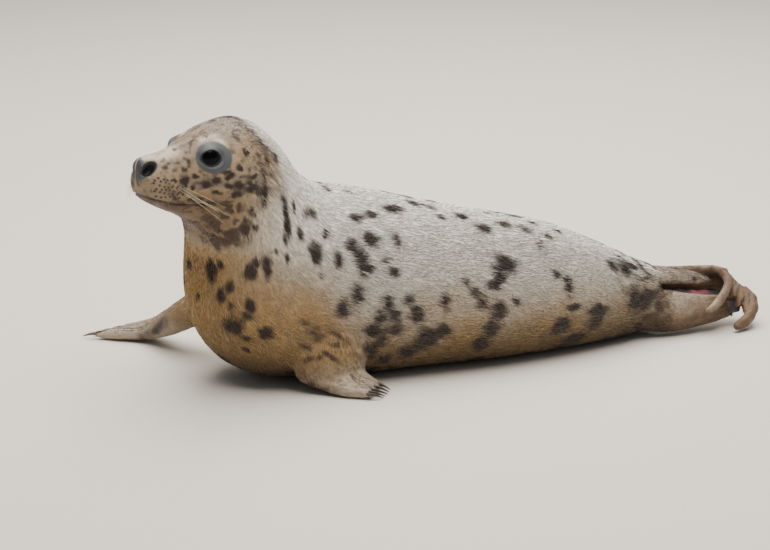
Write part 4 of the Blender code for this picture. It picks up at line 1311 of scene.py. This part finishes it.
class SEAL_OT_whiskers(bpy.types.Operator):
    """Whiskers in rows on the pads, and a few above each eye"""

    bl_idname = "seal.whiskers"
    bl_label = "Whiskers"

    def execute(self, context):
        sizes = context.scene.seal_sizes
        material = whisker_material(context.scene.seal_colours)
        rng = np.random.default_rng(8)
        tree = ray_tree(bpy.data.objects["skin"].data)
        for side, sign in (("left", 1), ("right", -1)):
            hairs, tones = [], []
            for behind, above, row, k in whisker_roots():
                start = Vector(head_point(behind, sign * 0.12, above))
                hit = tree.ray_cast(start, Vector(-sign * HEAD_LEFT))[0]
                if not hit or nostril_edge(np.array([hit]))[0] < 0.004:
                    continue
                length, out = pad_whisker(row, k, sign, sizes.whisker_length, rng)
                thick = sizes.whisker_thickness * (0.30 + 0.70 * min(1, length / 0.05))
                hairs.append(hair(hit, out, length, np.array((0.24, 0, -0.256)) @ HEAD_AXES, thick))
                tones.append(HAIR_TONE * (1 if length > 0.04 else 0.2))
            for k in range(3):
                start = Vector(head_point(0.088 + 0.005 * k, sign * (0.028 + 0.003 * k), 0.1))
                hit = tree.ray_cast(start, Vector(-UP))[0]
                out = unit((0.25 - 0.1 * k, sign * 0.45, 0.75)) @ HEAD_AXES
                droop = np.array((0.3, 0, -0.1)) @ HEAD_AXES
                hairs.append(hair(hit, out, 0.018, droop, sizes.whisker_thickness * 0.4))
                tones.append(HAIR_TONE)
            points = np.vstack([verts for verts, _ in hairs])
            faces = np.vstack([faces + number * len(HAIR_TONE) for number, (_, faces) in enumerate(hairs)])
            mesh = mesh_from(f"whiskers_{side}", points, faces)
            write(mesh, "tone", np.concatenate(tones))
            obj = new_object(f"whiskers_{side}", mesh, material)
            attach(obj, "root")
        return {"FINISHED"}


# Azimuth and elevation in degrees, distance and size in metres
LAMPS = (("key_light", -40, 85, 3.0, 3.2), ("back_light", 155, 50, 3.0, 2.2))
FLOOR_HALF = 14.0


def aim(name, data, azimuth, elevation, distance, target=(0, 0, 0)):
    """Sets a lamp or the camera at a bearing and height from its target, and turns it to look there."""
    level = math.cos(elevation)
    way = Vector((math.sin(azimuth) * level, -math.cos(azimuth) * level, math.sin(elevation)))
    obj = bpy.data.objects.new(name, data)
    obj.location = Vector(target) + distance * way
    obj.rotation_euler = way.to_track_quat("Z", "Y").to_euler()
    bpy.context.scene.collection.objects.link(obj)
    return obj


class SEAL_OT_stage(bpy.types.Operator):
    """Pale floor, soft studio light, and the camera"""

    bl_idname = "seal.stage"
    bl_label = "Stage"

    def execute(self, context):
        stage = context.scene.seal_stage
        corners = [(x * FLOOR_HALF, y * FLOOR_HALF, 0) for x, y in ((-1, -1), (1, -1), (1, 1), (-1, 1))]
        material = floor_material(context.scene.seal_colours)
        new_object("floor", mesh_from("floor", corners, [(0, 1, 2, 3)]), material)
        world = bpy.data.worlds.new("studio")
        world.use_nodes = True
        background = world.node_tree.nodes["Background"]
        background.inputs["Color"].default_value = linear("#EDEFF2")
        background.inputs["Strength"].default_value = stage.fill
        context.scene.world = world
        for (name, azimuth, elevation, distance, size), watts in zip(LAMPS, (stage.key, stage.rim)):
            lamp = bpy.data.lights.new(name, "AREA")
            lamp.size, lamp.energy = size, watts
            lamp.color = linear("#FFF8EE")[:3]
            aim(name, lamp, math.radians(azimuth), math.radians(elevation), distance)
        camera = bpy.data.cameras.new("camera")
        camera.lens = stage.lens
        camera.sensor_width = 36.0
        context.scene.camera = aim(
            "camera", camera, stage.azimuth, stage.elevation, stage.distance, stage.target
        )
        return {"FINISHED"}


class SEAL_OT_finishes(bpy.types.Operator):
    """The fur that the skin and the coat share"""

    bl_idname = "seal.finishes"
    bl_label = "Finishes"

    def execute(self, context):
        coat_material(context.scene.seal_colours)
        return {"FINISHED"}


# The web between the hind flippers' digits, as rows of points in millimetres from one edge to the other
WEB_SHEETS = (
    (
        ((395, -34, 54), (430, -34, 51), (465, -32, 48), (500, -28, 42)),
        ((395, -2, 55), (430, -2, 50), (465, -4, 47), (502, -8, 42)),
        ((395, 30, 58), (430, 31, 54), (465, 30, 50), (504, 22, 48)),
    ),
    (
        ((486, -22, 50), (492, -24, 36), (488, -24, 21)),
        ((503, -20, 50), (505, -25, 36), (502, -28, 22)),
        ((519, -18, 50), (517, -27, 37), (511, -33, 25)),
    ),
)
WEB_LONG, WEB_WIDE = 17, 9  # points along each sheet and across it
WEB_HALF = 0.0008  # half its thickness, and the depth of its ripples
# Where the web is flushed: a place and how far it reaches
WEB_FLUSHES = ((0.492, -0.026, 0.037, 0.0045), (0.455, 0.012, 0.050, 0.007), (0.470, 0.016, 0.049, 0.006))


def web_mesh(name, sheet):
    """A thin closed sheet through rows of points, rippled along them."""
    rows = np.array([through(np.array(row) * MM, WEB_LONG) for row in sheet])
    grid = np.stack([through(rows[:, k], WEB_WIDE) for k in range(WEB_LONG)], 1)
    out = unit(np.cross(np.gradient(grid, axis=0), np.gradient(grid, axis=1)))
    ripple = WEB_HALF * np.sin(np.arange(WEB_LONG) * 1.9)[None, :, None]
    both = np.stack([grid + out * (WEB_HALF + ripple), grid - out * (WEB_HALF - ripple)])
    index = np.arange(both[..., 0].size).reshape(both.shape[:3])
    quads = []
    for block, turn in zip(index, (1, -1)):
        corners = np.stack([block[:-1, :-1], block[1:, :-1], block[1:, 1:], block[:-1, 1:]], -1)
        quads.append(corners.reshape(-1, 4)[:, ::turn])
    edge = np.concatenate([index[:, 0, :], index[:, 1:, -1], index[:, -1, -2::-1], index[:, -2:0:-1, 0]], 1)
    after = np.roll(edge, -1, 1)
    quads.append(np.stack([edge[0], after[0], after[1], edge[1]], -1))
    mesh = mesh_from(name, both.reshape(-1, 3), np.vstack(quads))
    with edited(mesh) as bm:
        bmesh.ops.recalc_face_normals(bm, faces=bm.faces)
    return mesh


class SEAL_OT_web(bpy.types.Operator):
    """The bare web that closes the gaps between the hind flippers' digits"""

    bl_idname = "seal.web"
    bl_label = "Web"

    def execute(self, context):
        material = web_material(context.scene.seal_colours)
        for number, sheet in enumerate(WEB_SHEETS, 1):
            name = f"hind_web_{number}"
            mesh = web_mesh(name, sheet)
            points = positions(mesh)
            write(mesh, "flush", sum(near(points, spot[:3], spot[3]) for spot in WEB_FLUSHES))
            obj = new_object(name, mesh, material)
            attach(obj, "root")
        return {"FINISHED"}


def length_property(name, words, default):
    return FloatProperty(name=name, description=words, default=default, unit="LENGTH")


def colour_property(name, words, colour):
    return FloatVectorProperty(name=name, description=words, default=linear(colour), subtype="COLOR", size=4)


def angle_property(name, words, degrees):
    return FloatProperty(name=name, description=words, default=math.radians(degrees), subtype="ANGLE")


class SealSizes(bpy.types.PropertyGroup):
    grain: length_property("Grain", "Edge length of the mesh that the skin starts from", 0.0025)
    kept_share: FloatProperty(name="Kept share", description="Of the faces on the plain trunk", default=0.41)
    coat_depth: length_property("Coat depth", "From the skin to the coat's surface", 0.0018)
    tuft_length: length_property("Tuft length", "On the trunk", 0.0125)
    tufts: IntProperty(name="Tufts", description="How many tufts make up the coat", default=126000)
    layers: IntProperty(name="Layers", description="How many pieces the tufts are shared between", default=8)
    whisker_length: length_property("Whisker length", "Of the longest", 0.075)
    whisker_thickness: length_property("Whisker thickness", "Radius at the root", 0.00042)


class SealColours(bpy.types.PropertyGroup):
    silver: colour_property("Silver", "The back's fur", "#CBC7C0")
    buff: colour_property("Buff", "The belly's, chest's and throat's fur", "#A58555")
    cream: colour_property("Cream", "The palest fur, on the nape and brows", "#F0EDE6")
    smoke: colour_property("Smoke", "The grey-brown fur of the head", "#76685C")
    blotch: colour_property("Blotch", "The dark brown blotches", "#2A1B17")
    flipper: colour_property("Hind flipper", "The short-haired hind flippers", "#634B37")
    web: colour_property("Web", "The hind flippers' web", "#2B1F1C")
    flush: colour_property("Flush", "Where the web is stretched", "#C4627A")
    slate: colour_property("Slate", "Bare skin round the eyes and nostrils", "#494D51")
    pupil: colour_property("Pupil", "The middle of the eye", "#05060A")
    iris: colour_property("Iris", "The rest of the eye", "#11141D")
    horn: colour_property("Horn", "The claws", "#221F20")
    horn_pale: colour_property("Pale horn", "The claws' paler lines", "#6B5A4E")
    whisker_root: colour_property("Whisker root", "Whiskers near the lip", "#5E4B36")
    whisker: colour_property("Whisker", "Whiskers towards the tip", "#E6DBC3")
    floor: colour_property("Floor", "The floor", "#DCD8D0")
    floor_shade: colour_property("Floor shade", "The stipple's hollows", "#D4D0C8")


class SealStage(bpy.types.PropertyGroup):
    azimuth: angle_property("Azimuth", "Camera's bearing round the seal", -20)
    elevation: angle_property("Elevation", "Camera's height angle", 15)
    distance: length_property("Distance", "Camera to target", 6.0)
    lens: FloatProperty(name="Lens", description="Focal length in millimetres", default=181.0)
    target: FloatVectorProperty(
        name="Target", description="Where the camera looks", default=(-0.055, 0.053, 0.115), subtype="XYZ"
    )
    key: FloatProperty(name="Key light", description="Strength in watts", default=205.0)
    rim: FloatProperty(name="Back light", description="Strength in watts", default=85.0)
    fill: FloatProperty(name="Fill", description="Brightness of the surroundings", default=0.28)


OPERATORS = (
    SEAL_OT_finishes,
    SEAL_OT_skin,
    SEAL_OT_coat,
    SEAL_OT_web,
    SEAL_OT_eyes,
    SEAL_OT_claws,
    SEAL_OT_whiskers,
    SEAL_OT_stage,
)


class SEAL_PT_panel(bpy.types.Panel):
    """Lists the seal's pieces"""

    bl_idname = "SEAL_PT_panel"
    bl_label = "Grey Seal"
    bl_space_type = "VIEW_3D"
    bl_region_type = "UI"
    bl_category = "Seal"

    def draw(self, context):
        for operator in OPERATORS:
            self.layout.operator(operator.bl_idname)
        for group in (context.scene.seal_sizes, context.scene.seal_colours, context.scene.seal_stage):
            box = self.layout.box()
            for name in group.__annotations__:
                box.prop(group, name)


GROUPS = {"seal_sizes": SealSizes, "seal_colours": SealColours, "seal_stage": SealStage}


def register():
    for group in GROUPS.values():
        bpy.utils.register_class(group)
    for name, group in GROUPS.items():
        setattr(bpy.types.Scene, name, PointerProperty(type=group))
    for kind in (*OPERATORS, SEAL_PT_panel):
        bpy.utils.register_class(kind)


def unregister():
    for kind in (SEAL_PT_panel, *reversed(OPERATORS)):
        bpy.utils.unregister_class(kind)
    for name in GROUPS:
        delattr(bpy.types.Scene, name)
    for group in reversed(GROUPS.values()):
        bpy.utils.unregister_class(group)


def main():
    register()
    bpy.ops.seal.finishes()
    bpy.ops.seal.skin()
    bpy.ops.seal.coat()
    bpy.ops.seal.web()
    bpy.ops.seal.eyes()
    bpy.ops.seal.claws()
    bpy.ops.seal.whiskers()
    bpy.ops.seal.stage()
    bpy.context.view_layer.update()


if __name__ == "__main__":
    main()
